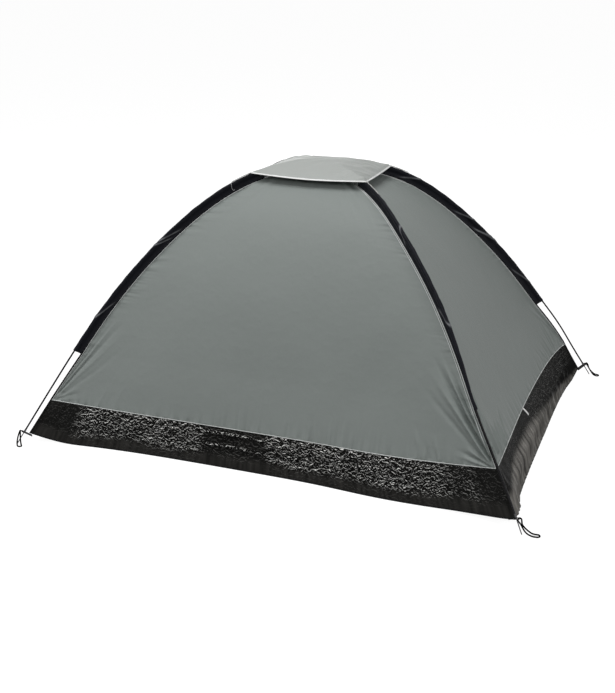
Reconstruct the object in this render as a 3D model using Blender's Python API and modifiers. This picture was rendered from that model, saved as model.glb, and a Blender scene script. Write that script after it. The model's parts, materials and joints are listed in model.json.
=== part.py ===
"""Two-person dome tent, pitched on its own two crossed poles.

Metres, +Z up. The origin is on the ground under the middle of the floor. X runs along the long sides, the
plain long side is the back and faces -Y, and the door is in the long side that faces +Y.
"""

import math

import bmesh
import bpy
from mathutils import Matrix, Vector

# Poles: two arches over the diagonals, from tip to tip on the ground
TIP_SPAN_X = 2.06
TIP_SPAN_Y = 1.572
POLE_RISE = 1.098
BEND_GATHER = 2.3           # how far the bend gathers towards the crown
SECTION_COUNT = 5
POLE_OD = 0.007
POLE_BORE = 0.0035
SHOCK_CORD_OD = 0.0026
FERRULE_WALL = 0.0009
FERRULE_LENGTH = 0.070
FERRULE_FIT = 0.0004        # radial room between a pole and its ferrule

# Pole tips
PIN_OD = 0.004
PIN_LENGTH = 0.062
PIN_POINT = 0.004
COLLAR_OD = 0.0084
COLLAR_LENGTH = 0.014
SPIGOT_OD = 0.0026
SPIGOT_LENGTH = 0.020

# Cloth
CLOTH = 0.0012
MESH_CLOTH = 0.0008
SLEEVE_CLOTH = 0.0007
GAP = 0.0003                # air between neighbours that touch on the real tent
EDGE_GAP = 0.0008           # air between sewn edges that meet at a slope
SEAM_TRIM = 0.0027          # how far each panel's edge stops short of a corner seam

# Corner seams, measured inward from the pole's centre line
FIN_FOOT = 0.022
FIN_SLEEVE = 0.034
SLEEVE_FOOT_AT = 0.46       # along the pole from its tip
SLEEVE_ROOM = 0.0008        # between a ferrule and the sleeve's fold
SLEEVE_TUCK = 0.001         # how far the sleeve's legs reach into the corner seam
SLEEVE_WRAP_DEG = 105       # how far the fold turns to each side of the pole's back

# Tub floor
BAND_HEIGHT = 0.165
FLOOR_BOW_SIDE = 0.0715     # how far the middle of a long edge lies inside the line of its corners
FLOOR_BOW_END = 0.033
CORNER_LIFT_FROM = 0.8
# Inward bow of each wall, as a share of its half width
WALL_HOLLOW = {"back": 0.030, "door": 0.0, "left": 0.040, "right": 0.040}

# Roof cover and its corner elastics
COVER_CLOTH = 0.0008
COVER_CORNER_AT = 1.47
COVER_HOLLOW = 0.026
COVER_RIDGE_ROOM = 0.0014   # its ridge stands off the sleeve's back, so that its slopes clear the flanks
SLEEVE_UNDER_COVER = 0.050
VENT_UNDER_COVER = 0.150
MESH_TRIM = 0.0013          # how far the roof mesh stops short of the walls' top edges
ELASTIC_OD = 0.003
ELASTIC_LENGTH = 0.085      # from the cover's corner to the hook's bend, along the sleeve
ELASTIC_DROP = 0.024

# Door and its zip, in the +Y wall
DOOR_WIDTH = 0.72
DOOR_ABOVE_BAND = 0.040
DOOR_HEIGHT = 0.655
DOOR_FOOT_RADIUS = 0.07
DOOR_HEAD_RADIUS = 0.26
TAPE_WIDTH = 0.011
TAPE_PROUD = 0.0004
TAPE_THICKNESS = 0.0018
HINGE_STANDOFF = 0.003
SLIDER_LENGTH = 0.012
SLIDER_WIDTH = 0.009
SLIDER_HEIGHT = 0.0035
SLIDER_AIR = 0.0008         # room for the curve of the wall along the slider's way
PULLER_LENGTH = 0.034
PULLER_WIDTH = 0.007
PULLER_THICKNESS = 0.0016
SLIDER_START = 0.020        # past the round foot corner of the zip
SIDE_SLIDER_TRAVEL = 0.24
DOORWAY_CUT_DEPTH = 0.15

# Corner tabs, eyelets and peg loops
TAB_THICKNESS = 0.0012
TAB_HALF_WIDTH = 0.010
TONGUE_HALF_WIDTH = 0.005
TAB_CURL_DEG = 240
TAB_REACH = 0.0165          # from the pin to the peg loop's pivot
TAB_INNER_OVERRUN = 0.001
EYELET_BARREL = 0.001
EYELET_FLANGE = 0.0026
EYELET_FLANGE_THICKNESS = 0.0007
EYELET_FIT = 0.0008
LOOP_CORD_OD = 0.0045
LOOP_ROOM = 0.0005
LOOP_HALF_WIDTH = 0.0088
LOOP_REACH = {"back_left": 0.024, "back_right": 0.066, "door_right": 0.050, "door_left": 0.050}
LOOP_TURN_DEG = {"back_left": 72, "back_right": 37, "door_right": -34, "door_left": 12}
LOOP_GROUND_SHARE = 0.8     # share of its reach at which a peg loop meets the ground

# Mesh fineness
ARCH_STEPS = 400
LEG_SPACING = 0.12
CROWN_SPACING = 0.066
CROWN_ZONE = 0.9
EDGE_STEPS = (0, 0.4, 0.7, 0.85, 0.93, 1)
ARC_STEPS = 6
FOLD_STEPS = 5
TURN_STEPS = 10
HOLE_STEPS = 16
CURL_STEPS = 8
STRAND_STEPS = 6
LOOP_END_STEPS = 8
ELASTIC_STEPS = 5
HOOK_STEPS = 3
BISECT_STEPS = 60
ROW_SPACING = 0.04          # rows of a wall panel are at least this far apart
HAIR = 0.00001

CORNERS = {"back_left": (-1, -1), "back_right": (1, -1), "door_right": (1, 1), "door_left": (-1, 1)}
POLES = {"a": ("back_left", "door_right"), "b": ("back_right", "door_left")}

# Sizes that follow
HALF_DIAGONAL = math.hypot(TIP_SPAN_X, TIP_SPAN_Y) / 2
ALONG_X = TIP_SPAN_X / 2 / HALF_DIAGONAL
ALONG_Y = TIP_SPAN_Y / 2 / HALF_DIAGONAL
EYELET_HALF = TAB_THICKNESS / 2 + GAP + EYELET_FLANGE_THICKNESS
CORNER_AT = PIN_LENGTH - EYELET_HALF - GAP      # the tab's eyelet bears on the pole tip's shoulder
SLEEVE_HEAD_AT = COVER_CORNER_AT + SLEEVE_UNDER_COVER
VENT_AT = COVER_CORNER_AT + VENT_UNDER_COVER
DOOR_HINGE_X = -DOOR_WIDTH / 2
DOOR_FREE_X = DOOR_WIDTH / 2
DOOR_SILL_Z = BAND_HEIGHT + DOOR_ABOVE_BAND
DOOR_TOP_Z = DOOR_SILL_Z + DOOR_HEIGHT
CROSSING_DROP = POLE_OD + GAP
CROSSING_REACH = 0.35
FERRULE_RADIUS = POLE_OD / 2 + FERRULE_FIT + FERRULE_WALL
SLEEVE_RADIUS = FERRULE_RADIUS + SLEEVE_ROOM
SLEEVE_OUTER = SLEEVE_RADIUS + SLEEVE_CLOTH
SECTION_FOOT_AT = PIN_LENGTH + COLLAR_LENGTH + GAP
SPIGOT_HEAD_AT = SECTION_FOOT_AT + SPIGOT_LENGTH
TAPE_STEP = TAPE_WIDTH + GAP


def solve_arch(reach, rise):
    """Headings of a half pole from foot to crown, and its step length, so that it ends level."""
    weights = [math.sin(math.pi / 2 * (i + 0.5) / ARCH_STEPS) ** BEND_GATHER for i in range(ARCH_STEPS)]
    total = sum(weights)
    shares = []
    turned = 0.0
    for weight in weights:
        shares.append(1 - (turned + weight / 2) / total)
        turned += weight
    low, high = 0.1, 2.8
    for _ in range(BISECT_STEPS):
        foot_angle = (low + high) / 2
        headings = [foot_angle * share for share in shares]
        slope = sum(map(math.sin, headings)) / sum(map(math.cos, headings))
        if slope < rise / reach:
            low = foot_angle
        else:
            high = foot_angle
    return headings, reach / sum(map(math.cos, headings))


ARCH_HEADINGS, ARCH_STEP = solve_arch(HALF_DIAGONAL, POLE_RISE)
HALF_POLE = ARCH_STEP * ARCH_STEPS
SECTION_LENGTH = 2 * HALF_POLE / SECTION_COUNT


def walk_arch():
    """Points of the half pole as (distance from the crown's plumb line, height)."""
    points = [(HALF_DIAGONAL, 0.0)]
    for heading in ARCH_HEADINGS:
        out, up = points[-1]
        points.append((out - ARCH_STEP * math.cos(heading), up + ARCH_STEP * math.sin(heading)))
    return points


ARCH_POINTS = walk_arch()


def arch_point(at):
    """The half pole's centre line at an arc length from its tip."""
    place = min(max(at / ARCH_STEP, 0), ARCH_STEPS - HAIR)
    i = int(place)
    share = place - i
    (out0, up0), (out1, up1) = ARCH_POINTS[i], ARCH_POINTS[i + 1]
    return out0 + share * (out1 - out0), up0 + share * (up1 - up0)


def arch_normal(at):
    """The outward normal of the half pole in its own plane, as (out, up)."""
    place = min(max(at / ARCH_STEP - 0.5, 0), ARCH_STEPS - 1 - HAIR)
    i = int(place)
    share = place - i
    heading = ARCH_HEADINGS[i] + share * (ARCH_HEADINGS[i + 1] - ARCH_HEADINGS[i])
    return math.sin(heading), math.cos(heading)


def beside_arch(at, outward):
    """A point beside the pole, moved outward from its centre line, as (out, up)."""
    out, up = arch_point(at)
    normal_out, normal_up = arch_normal(at)
    return out + outward * normal_out, up + outward * normal_up


def fin_depth(at):
    """How far the corner seam lies inside the pole."""
    share = min(max((at - CORNER_AT) / (SLEEVE_FOOT_AT - CORNER_AT), 0), 1)
    return FIN_FOOT + share * (FIN_SLEEVE - FIN_FOOT)


def seam_point(at):
    """The corner seam where the wall panels meet, as (out, up)."""
    return beside_arch(at, -fin_depth(at))


def arc_at_seam_height(height):
    """Arc length along the pole at which the corner seam reaches a height."""
    low, high = 0.0, HALF_POLE
    for _ in range(BISECT_STEPS):
        middle = (low + high) / 2
        if seam_point(middle)[1] < height:
            low = middle
        else:
            high = middle
    return (low + high) / 2


BAND_AT = arc_at_seam_height(BAND_HEIGHT)
CORNER_OUT, CORNER_UP = seam_point(CORNER_AT)
CORNER_X = CORNER_OUT * ALONG_X
CORNER_Y = CORNER_OUT * ALONG_Y
FLOOR_CORNER_LIFT = CORNER_UP - CLOTH - EDGE_GAP


def station_marks():
    """Arc lengths where some piece of the half pole or of the cloth beside it starts or ends."""
    marks = [CORNER_AT, SECTION_FOOT_AT, SPIGOT_HEAD_AT, BAND_AT, SLEEVE_FOOT_AT, SLEEVE_HEAD_AT]
    marks += [VENT_AT, COVER_CORNER_AT, HALF_POLE]
    for joint in range(1, SECTION_COUNT // 2 + 1):
        at = joint * SECTION_LENGTH
        marks += [at - FERRULE_LENGTH / 2, at, at + FERRULE_LENGTH / 2]
    return sorted(mark for mark in marks if mark <= HALF_POLE)


def fill_stations(marks):
    """The marks, with even steps between them."""
    stations = [marks[0]]
    for low, high in zip(marks, marks[1:]):
        if high - low < HAIR:
            continue
        spacing = CROWN_SPACING if low + high > 2 * CROWN_ZONE else LEG_SPACING
        count = math.ceil((high - low) / spacing)
        stations += [low + (high - low) * i / count for i in range(1, count + 1)]
    return stations


STATIONS = fill_stations(station_marks())


def stations_between(low, high):
    """Both ends, and each station between them."""
    inner = [at for at in STATIONS if low + HAIR < at < high - HAIR]
    return [low] + inner + [high]


def in_corner_plane(corner, out, up, across=0.0):
    """World place of a point in the upright plane of a corner's diagonal, moved across that plane."""
    side_x, side_y = CORNERS[corner]
    x = out * ALONG_X * side_x - across * ALONG_Y * side_y
    y = out * ALONG_Y * side_y + across * ALONG_X * side_x
    return Vector((x, y, up))


def crossing_drop(pole, at):
    """How far pole b dips under pole a near the crown."""
    from_crown = HALF_POLE - at
    if pole == "a" or from_crown > CROSSING_REACH:
        return 0.0
    return CROSSING_DROP * (1 + math.cos(math.pi * from_crown / CROSSING_REACH)) / 2


def pole_point(pole, at):
    """World place on a whole pole, at an arc length from its first tip."""
    first, second = POLES[pole]
    corner, near = (first, at) if at <= HALF_POLE else (second, 2 * HALF_POLE - at)
    out, up = arch_point(near)
    return in_corner_plane(corner, out, up - crossing_drop(pole, near))


def pole_stations(low, high):
    """Stations along a whole pole between two arc lengths."""
    both = STATIONS + [2 * HALF_POLE - at for at in reversed(STATIONS[:-1])]
    return [low] + [at for at in both if low + HAIR < at < high - HAIR] + [high]


def on_side(side, along, out, up):
    """World place of a point given along a wall and outward from the tent's middle."""
    places = {
        "back": (along, -out, up),
        "door": (-along, out, up),
        "left": (-out, -along, up),
        "right": (out, along, up),
    }
    return Vector(places[side])


def facing(side):
    return on_side(side, 0, 1, 0)


def wall_point(side, u, at):
    """A wall panel's outer face, with u from -1 to 1 between its corner seams, at a seam arc length."""
    out, up = seam_point(at)
    half_x, half_y = out * ALONG_X, out * ALONG_Y
    half, depth = (half_x, half_y) if side in ("back", "door") else (half_y, half_x)
    bow = WALL_HOLLOW[side] * half * (1 - u * u)
    return on_side(side, u * (half - SEAM_TRIM), depth - bow, up)


def door_wall_profile(at):
    """The middle of the door wall at a seam arc length, and the wall's outward normal there."""
    (out0, up0), (out1, up1) = seam_point(at - ARCH_STEP), seam_point(at + ARCH_STEP)
    along = Vector((0, (out1 - out0) * ALONG_Y, up1 - up0)).normalized()
    return wall_point("door", 0, at), Vector((0, along.z, -along.y))


def floor_edge(side, u):
    """The floor's outline on one side as (along, out): it curves out towards the corners."""
    if side in ("back", "door"):
        return u * CORNER_X, CORNER_Y - FLOOR_BOW_SIDE * (1 - u**4)
    return u * CORNER_Y, CORNER_X - FLOOR_BOW_END * (1 - u**4)


def corner_lift(u, v):
    """Height of the floor's underside: flat, but drawn up at the corners."""
    share = max(0.0, (abs(u * v) - CORNER_LIFT_FROM) / (1 - CORNER_LIFT_FROM))
    return FLOOR_CORNER_LIFT * share**2


def both_ways(steps):
    """Steps from -1 to 1 out of steps from 0 to 1."""
    return [-step for step in reversed(steps[1:])] + list(steps)


# Scene, materials and mesh helpers


def start_scene():
    for thing in list(bpy.data.objects):
        bpy.data.objects.remove(thing, do_unlink=True)
    collections = []
    for name in ("dome_tent", "cutters"):
        collection = bpy.data.collections.new(name)
        bpy.context.scene.collection.children.link(collection)
        collections.append(collection)
    return collections


TENT, CUTTERS = start_scene()


def principled(name, colour, roughness, metallic=0.0):
    material = bpy.data.materials.new(name)
    material.use_nodes = True
    shader = material.node_tree.nodes["Principled BSDF"]
    shader.inputs["Base Color"].default_value = (*colour, 1)
    shader.inputs["Roughness"].default_value = roughness
    shader.inputs["Metallic"].default_value = metallic
    material.diffuse_color = (*colour, 1)
    return material


FINISH = {
    "canopy": principled("canopy_polyester", (0.21, 0.23, 0.22), 0.6),
    "cover": principled("cover_polyester", (0.42, 0.44, 0.42), 0.6),
    "tub": principled("tub_sheeting", (0.012, 0.012, 0.012), 0.32),
    "sleeve": principled("sleeve_polyester", (0.012, 0.013, 0.018), 0.55),
    "mesh": principled("vent_mesh", (0.02, 0.02, 0.02), 0.8),
    "pole": principled("glass_fibre_pole", (0.02, 0.02, 0.022), 0.35),
    "steel": principled("plated_steel", (0.55, 0.55, 0.55), 0.3, 1.0),
    "cord": principled("elastic_cord", (0.6, 0.6, 0.58), 0.8),
    "webbing": principled("black_webbing", (0.012, 0.012, 0.012), 0.75),
    "zip": principled("zip_chain", (0.02, 0.02, 0.02), 0.5),
}


def add_object(name, data, finish, collection=None):
    thing = bpy.data.objects.new(name, data)
    (collection or TENT).objects.link(thing)
    if finish:
        data.materials.append(FINISH[finish])
    return thing


def sheet(name, us, vs, place, outward, finish, thickness, offset=-1, ridge=False):
    """A grid of cloth whose corners are put by place(u, v), given a thickness by Solidify."""
    mesh_data = bpy.data.meshes.new(name)
    bm = bmesh.new()
    columns, rows = len(us) - 1, len(vs) - 1
    bmesh.ops.create_grid(bm, x_segments=columns, y_segments=rows, size=0.5)
    corners = {}
    for vert in bm.verts:
        i = round((vert.co.x + 0.5) * columns)
        j = round((vert.co.y + 0.5) * rows)
        corners[i, j] = vert
    for (i, j), vert in corners.items():
        vert.co = place(us[i], vs[j])
    if ridge:
        split_on_diagonals(bm, corners, columns)
    bm.normal_update()
    middle = corners[columns // 2, rows // 2]
    if middle.normal.dot(outward) < 0:
        bmesh.ops.reverse_faces(bm, faces=bm.faces)
    bm.to_mesh(mesh_data)
    bm.free()
    mesh_data.shade_smooth()
    thing = add_object(name, mesh_data, finish)
    solidify = thing.modifiers.new("thickness", "SOLIDIFY")
    solidify.thickness = thickness
    solidify.offset = offset
    return thing


def split_on_diagonals(bm, corners, count):
    """Cut the grid's corner-to-corner squares along the ridges, so that no fold crosses them."""
    for i in range(count):
        for a, b in (((i, i), (i + 1, i + 1)), ((i, count - i), (i + 1, count - i - 1))):
            bmesh.ops.connect_vert_pair(bm, verts=[corners[a], corners[b]])


def tube(name, points, radius, finish, fineness=2, caps=True, cyclic=False):
    """A round rod or cord on a polyline."""
    curve = bpy.data.curves.new(name, "CURVE")
    curve.dimensions = "3D"
    curve.bevel_depth = radius
    curve.bevel_resolution = fineness
    curve.use_fill_caps = caps
    spline = curve.splines.new("POLY")
    spline.points.add(len(points) - 1)
    for spot, point in zip(spline.points, points):
        spot.co = (*point, 1)
    spline.use_cyclic_u = cyclic
    return add_object(name, curve, finish)


def hollow_tube(name, points, outer, inner, finish):
    """An open pipe: the outer skin with a wall thickened inward."""
    thing = tube(name, points, outer, finish, caps=False)
    wall = thing.modifiers.new("wall", "SOLIDIFY")
    wall.thickness = outer - inner
    wall.offset = -1
    return thing


def turned(name, profile, steps, finish, closed=False):
    """A body turned about its own Z from (radius, height) points that run down its outer side."""
    mesh_data = bpy.data.meshes.new(name)
    bm = bmesh.new()
    verts = [bm.verts.new((radius, 0, height)) for radius, height in profile]
    for low, high in zip(verts, verts[1:]):
        bm.edges.new((low, high))
    if closed:
        bm.edges.new((verts[-1], verts[0]))
    bm.to_mesh(mesh_data)
    bm.free()
    thing = add_object(name, mesh_data, finish)
    screw = thing.modifiers.new("turn", "SCREW")
    screw.steps = steps
    screw.render_steps = steps
    screw.use_merge_vertices = True
    screw.merge_threshold = HAIR
    screw.use_smooth_shade = True
    return thing


def prism_cutter(name, outline, depth):
    """A cutter with a flat outline, run both ways square to it."""
    mesh_data = bpy.data.meshes.new(name)
    bm = bmesh.new()
    run = (outline[1] - outline[0]).cross(outline[-1] - outline[0]).normalized() * depth
    face = bm.faces.new([bm.verts.new(point - run) for point in outline])
    made = bmesh.ops.extrude_face_region(bm, geom=[face])
    moved = [item for item in made["geom"] if isinstance(item, bmesh.types.BMVert)]
    bmesh.ops.translate(bm, verts=moved, vec=2 * run)
    bmesh.ops.recalc_face_normals(bm, faces=bm.faces)
    bm.to_mesh(mesh_data)
    bm.free()
    return hide_cutter(add_object(name, mesh_data, None, CUTTERS))


def take_primitive(name, frame, collection):
    """Name the primitive just added, put it in place and move it to its own collection."""
    thing = bpy.context.object
    thing.name = name
    thing.data.name = name
    thing.data.transform(frame)
    for old in list(thing.users_collection):
        old.objects.unlink(thing)
    collection.objects.link(thing)
    return thing


def hide_cutter(thing):
    thing.hide_render = True
    thing.display_type = "WIRE"
    return thing


def cut(thing, cutter, operation):
    boolean = thing.modifiers.new(operation.lower(), "BOOLEAN")
    boolean.operation = operation
    boolean.object = cutter


def move_origin(thing, point):
    """Put an object's origin on its joint's axis without moving its shape."""
    thing.data.transform(Matrix.Translation(-Vector(point)))
    thing.location = point


def empty_at(name, point, parent=None):
    thing = bpy.data.objects.new(name, None)
    TENT.objects.link(thing)
    thing.location = point
    if parent:
        attach(thing, parent)
    return thing


def attach(child, parent):
    """Parent an object where it stands; the empties here are neither turned nor scaled."""
    anchor = Vector((0, 0, 0))
    step = parent
    while step:
        anchor += step.location
        step = step.parent
    child.parent = parent
    child.location -= anchor


def corner_matrix(corner, at):
    """A frame on the pole at an arc length: X out of the tent, Y across, Z up along the pole."""
    origin = in_corner_plane(corner, *arch_point(at))
    outward = in_corner_plane(corner, *arch_normal(at))
    across = in_corner_plane(corner, 0, 0, 1)
    upward = outward.cross(across)
    frame = Matrix((outward, across, upward)).transposed().to_4x4()
    frame.translation = origin
    return frame


# Poles


def build_pole(pole):
    length = 2 * HALF_POLE
    for number in range(1, SECTION_COUNT + 1):
        low = (number - 1) * SECTION_LENGTH + GAP / 2
        high = number * SECTION_LENGTH - GAP / 2
        if number == 1:
            low = SECTION_FOOT_AT
        if number == SECTION_COUNT:
            high = length - SECTION_FOOT_AT
        points = [pole_point(pole, at) for at in pole_stations(low, high)]
        hollow_tube(f"pole_{pole}_section_{number}", points, POLE_OD / 2, POLE_BORE / 2, "pole")
    for number in range(1, SECTION_COUNT):
        middle = number * SECTION_LENGTH
        ends = (middle - FERRULE_LENGTH / 2, middle + FERRULE_LENGTH / 2)
        points = [pole_point(pole, at) for at in pole_stations(*ends)]
        inner = FERRULE_RADIUS - FERRULE_WALL
        hollow_tube(f"pole_{pole}_ferrule_{number}", points, FERRULE_RADIUS, inner, "steel")
    ends = (SPIGOT_HEAD_AT + GAP, length - SPIGOT_HEAD_AT - GAP)
    points = [pole_point(pole, at) for at in pole_stations(*ends)]
    tube(f"shock_cord_{pole}", points, SHOCK_CORD_OD / 2, "cord", fineness=1)


def build_pole_tip(corner):
    """A steel end plug: a spigot in the pole's bore, a collar, and the pin that stands on the ground."""
    normal_out, normal_up = arch_normal(0)
    foot = normal_up / normal_out * PIN_OD / 4
    profile = [
        (0, SPIGOT_HEAD_AT),
        (SPIGOT_OD / 2, SPIGOT_HEAD_AT),
        (SPIGOT_OD / 2, SECTION_FOOT_AT - GAP),
        (COLLAR_OD / 2, SECTION_FOOT_AT - GAP),
        (COLLAR_OD / 2, PIN_LENGTH),
        (PIN_OD / 2, PIN_LENGTH),
        (PIN_OD / 2, foot + PIN_POINT),
        (PIN_OD / 4, foot),
        (0, foot),
    ]
    tip = turned(f"pole_tip_{corner}", profile, TURN_STEPS, "steel")
    tip.matrix_world = corner_matrix(corner, 0)


# Tub floor and canopy


def build_floor():
    steps = both_ways(EDGE_STEPS)

    def place(u, v):
        x = u * floor_edge("right", v)[1]
        y = v * floor_edge("door", u)[1]
        return Vector((x, y, corner_lift(u, v)))

    sheet("floor_sheet", steps, steps, place, Vector((0, 0, 1)), "tub", CLOTH, offset=1)


def build_tub_wall(side):
    def place(u, w):
        along, out = floor_edge(side, u)
        trim = u * SEAM_TRIM
        foot = on_side(side, along - trim, out, corner_lift(u, 1) + CLOTH + EDGE_GAP)
        head = wall_point(side, u, BAND_AT) - Vector((0, 0, EDGE_GAP))
        return foot.lerp(head, w)

    sheet(f"tub_wall_{side}", both_ways(EDGE_STEPS), (0, 0.5, 1), place, facing(side), "tub", CLOTH)


def wall_rows():
    """The stations that a wall panel uses, with the crowded ones left out."""
    stations = stations_between(BAND_AT, VENT_AT)
    rows = [stations[0]]
    for at in stations[1:-1]:
        if at - rows[-1] > ROW_SPACING and stations[-1] - at > ROW_SPACING / 2:
            rows.append(at)
    return rows + [stations[-1]]


def wall_sheet(name, side, finish, thickness, place):
    """Cloth over a wall's whole surface."""
    columns = both_ways(EDGE_STEPS) if WALL_HOLLOW[side] else (-1, 0, 1)
    return sheet(name, columns, wall_rows(), place, facing(side), finish, thickness)


def canopy_sheet(name, side):
    return wall_sheet(name, side, "canopy", CLOTH, lambda u, at: wall_point(side, u, at))


def crown_place(edge_at, outward_at, edge_bow, inset=0.0):
    """Place function of a sheet over the crown, whose rows are rectangles round the tent's axis.

    edge_bow(u, v) is the inward bow of the edge on that side, as a share of its distance from the axis.
    """

    def place(u, v):
        ring = max(abs(u), abs(v))
        at = HALF_POLE - ring * (HALF_POLE - edge_at)
        out, up = beside_arch(at, outward_at)
        out -= inset * ring
        if ring == 0:
            return Vector((0, 0, up))
        along = min(abs(u), abs(v)) / ring
        draw = 1 - edge_bow(u, v) * ring**2 * (1 - along**2)
        return Vector((u / ring * out * ALONG_X * draw, v / ring * out * ALONG_Y * draw, up))

    return place


def ring_steps(edge_at):
    """Ring sizes of a crown sheet, on the same stations as the poles."""
    span = HALF_POLE - edge_at
    return [(HALF_POLE - at) / span for at in reversed(stations_between(edge_at, HALF_POLE))]


def wall_top_bow(u, v):
    """The bow of the wall's top edge that lies below a point of the roof."""
    if abs(v) >= abs(u):
        return WALL_HOLLOW["door" if v > 0 else "back"] * ALONG_X / ALONG_Y
    return WALL_HOLLOW["right" if u > 0 else "left"] * ALONG_Y / ALONG_X


def build_roof_mesh():
    steps = both_ways(ring_steps(VENT_AT))
    place = crown_place(VENT_AT, -FIN_SLEEVE, wall_top_bow, inset=MESH_TRIM)
    sheet("roof_mesh", steps, steps, place, Vector((0, 0, 1)), "mesh", MESH_CLOTH, ridge=True)


# Pole sleeves


def sleeve_section(fin):
    """The folded sleeve across the pole, as (outward, across) from the pole's centre: leg, fold, leg."""
    leg_room = SLEEVE_CLOTH / 2
    turn = math.radians(SLEEVE_WRAP_DEG)
    fold = []
    for i in range(FOLD_STEPS + 1):
        angle = turn * (2 * i / FOLD_STEPS - 1)
        fold.append((SLEEVE_RADIUS * math.cos(angle), SLEEVE_RADIUS * math.sin(angle)))
    foot = -fin - SLEEVE_TUCK
    return [(foot, -leg_room)] + fold + [(foot, leg_room)]


def build_sleeve(corner):
    stations = stations_between(SLEEVE_FOOT_AT, SLEEVE_HEAD_AT)
    count = len(sleeve_section(FIN_SLEEVE))
    pole = "a" if corner in POLES["a"] else "b"

    def place(k, at):
        outward, across = sleeve_section(fin_depth(at))[k]
        out, up = beside_arch(at, outward)
        drop = crossing_drop(pole, at) if outward > -FIN_SLEEVE / 2 else 0.0
        return in_corner_plane(corner, out, up - drop, across)

    outward = in_corner_plane(corner, *arch_normal(stations[len(stations) // 2]))
    sheet(f"sleeve_{corner}", range(count), stations, place, outward, "sleeve", SLEEVE_CLOTH, offset=1)


# Roof cover


def build_cover():
    lift_axis = empty_at("cover_lift", (0, 0, beside_arch(HALF_POLE, SLEEVE_OUTER)[1]))
    steps = both_ways(ring_steps(COVER_CORNER_AT))
    lift = SLEEVE_OUTER + COVER_RIDGE_ROOM
    edge_bow = COVER_HOLLOW / (beside_arch(COVER_CORNER_AT, lift)[0] * ALONG_Y)
    place = crown_place(COVER_CORNER_AT, lift, lambda u, v: edge_bow)
    up = Vector((0, 0, 1))
    cover = sheet("roof_cover", steps, steps, place, up, "cover", COVER_CLOTH, offset=1, ridge=True)
    attach(cover, lift_axis)
    for corner in CORNERS:
        attach(build_cover_elastic(corner), lift_axis)


def build_cover_elastic(corner):
    """A round elastic from the cover's corner down the sleeve's back, hooked over its flank."""
    radius = ELASTIC_OD / 2
    beside = SLEEVE_OUTER + GAP + radius
    head_at = COVER_CORNER_AT - radius
    bend_at = COVER_CORNER_AT - ELASTIC_LENGTH
    route = []
    for i in range(ELASTIC_STEPS + 1):
        share = i / ELASTIC_STEPS
        route.append((head_at + share * (bend_at - head_at), beside, 0.0))
    for i in range(1, HOOK_STEPS + 1):
        angle = math.pi / 2 * i / HOOK_STEPS
        route.append((bend_at - i * radius, beside * math.cos(angle), beside * math.sin(angle)))
    hook_at = bend_at - 2 * HOOK_STEPS * radius
    route.append((hook_at, -ELASTIC_DROP / 2, beside))
    route.append((hook_at, -ELASTIC_DROP, beside))
    points = [in_corner_plane(corner, *beside_arch(at, outward), across) for at, outward, across in route]
    return tube(f"cover_elastic_{corner}", points, radius, "cord")


# Door, zip and sliders


def at_height(height):
    return door_wall_profile(arc_at_seam_height(height))


DOOR_LOW = at_height(DOOR_SILL_Z)[0]
DOOR_HIGH = at_height(DOOR_TOP_Z)[0]
DOOR_UP = (DOOR_HIGH - DOOR_LOW).normalized()
DOOR_OUT = Vector((0, DOOR_UP.z, -DOOR_UP.y))
DOOR_LENGTH = (DOOR_HIGH - DOOR_LOW).length


def door_face(rise):
    """The door wall's place and normal at a rise from the sill, measured along the door's chord."""
    low, high = DOOR_SILL_Z, DOOR_TOP_Z
    for _ in range(BISECT_STEPS):
        middle = (low + high) / 2
        if (at_height(middle)[0] - DOOR_LOW).dot(DOOR_UP) < rise:
            low = middle
        else:
            high = middle
    return at_height((low + high) / 2)


def door_hinge_point():
    """The foot of the door's hinge line, which runs along DOOR_UP just outside the wall's bulge."""
    rises = [DOOR_LENGTH * i / ARCH_STEPS for i in range(ARCH_STEPS)]
    bulge = max((door_face(rise)[0] - DOOR_LOW).dot(DOOR_OUT) for rise in rises)
    point = DOOR_LOW + DOOR_OUT * (bulge + HINGE_STANDOFF)
    point.x = DOOR_HINGE_X
    return point


def door_outline(inset, hinge_x):
    """The doorway in the plane of its chord: straight at the hinge, rounded at the free side."""
    free = DOOR_FREE_X - inset
    spots = [(hinge_x, inset)]
    for centre_rise, radius, start in (
        (DOOR_FOOT_RADIUS, DOOR_FOOT_RADIUS - inset, -math.pi / 2),
        (DOOR_LENGTH - DOOR_HEAD_RADIUS, DOOR_HEAD_RADIUS - inset, 0.0),
    ):
        for i in range(ARC_STEPS + 1):
            angle = start + math.pi / 2 * i / ARC_STEPS
            x = free - radius + radius * math.cos(angle)
            spots.append((x, centre_rise + radius * math.sin(angle)))
    spots.append((hinge_x, DOOR_LENGTH - inset))
    return [DOOR_LOW + Vector((x, 0, 0)) + rise * DOOR_UP for x, rise in spots]


def doorway_cutter(name, inset, hinge_x):
    return prism_cutter(name, door_outline(inset, hinge_x), DOORWAY_CUT_DEPTH)


def build_zip_tape(name, first_inset):
    """Half of the zip's chain and tape, cut from stock that lies over the whole door wall."""

    def place(u, at):
        return wall_point("door", u, at) + TAPE_PROUD * door_wall_profile(at)[1]

    tape = wall_sheet(name, "door", "zip", TAPE_THICKNESS, place)
    outer = doorway_cutter(name + "_outer", first_inset, DOOR_HINGE_X + GAP)
    inner = doorway_cutter(name + "_inner", first_inset + TAPE_WIDTH, DOOR_HINGE_X - TAPE_WIDTH)
    cut(tape, outer, "INTERSECT")
    cut(tape, inner, "DIFFERENCE")
    return tape


def slider_block(name, size, centre, frame, collection):
    """A block of a slider, given in the slider's own frame."""
    bpy.ops.mesh.primitive_cube_add(size=1)
    return take_primitive(name, frame @ Matrix.Translation(centre) @ Matrix.Diagonal((*size, 1)), collection)


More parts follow.
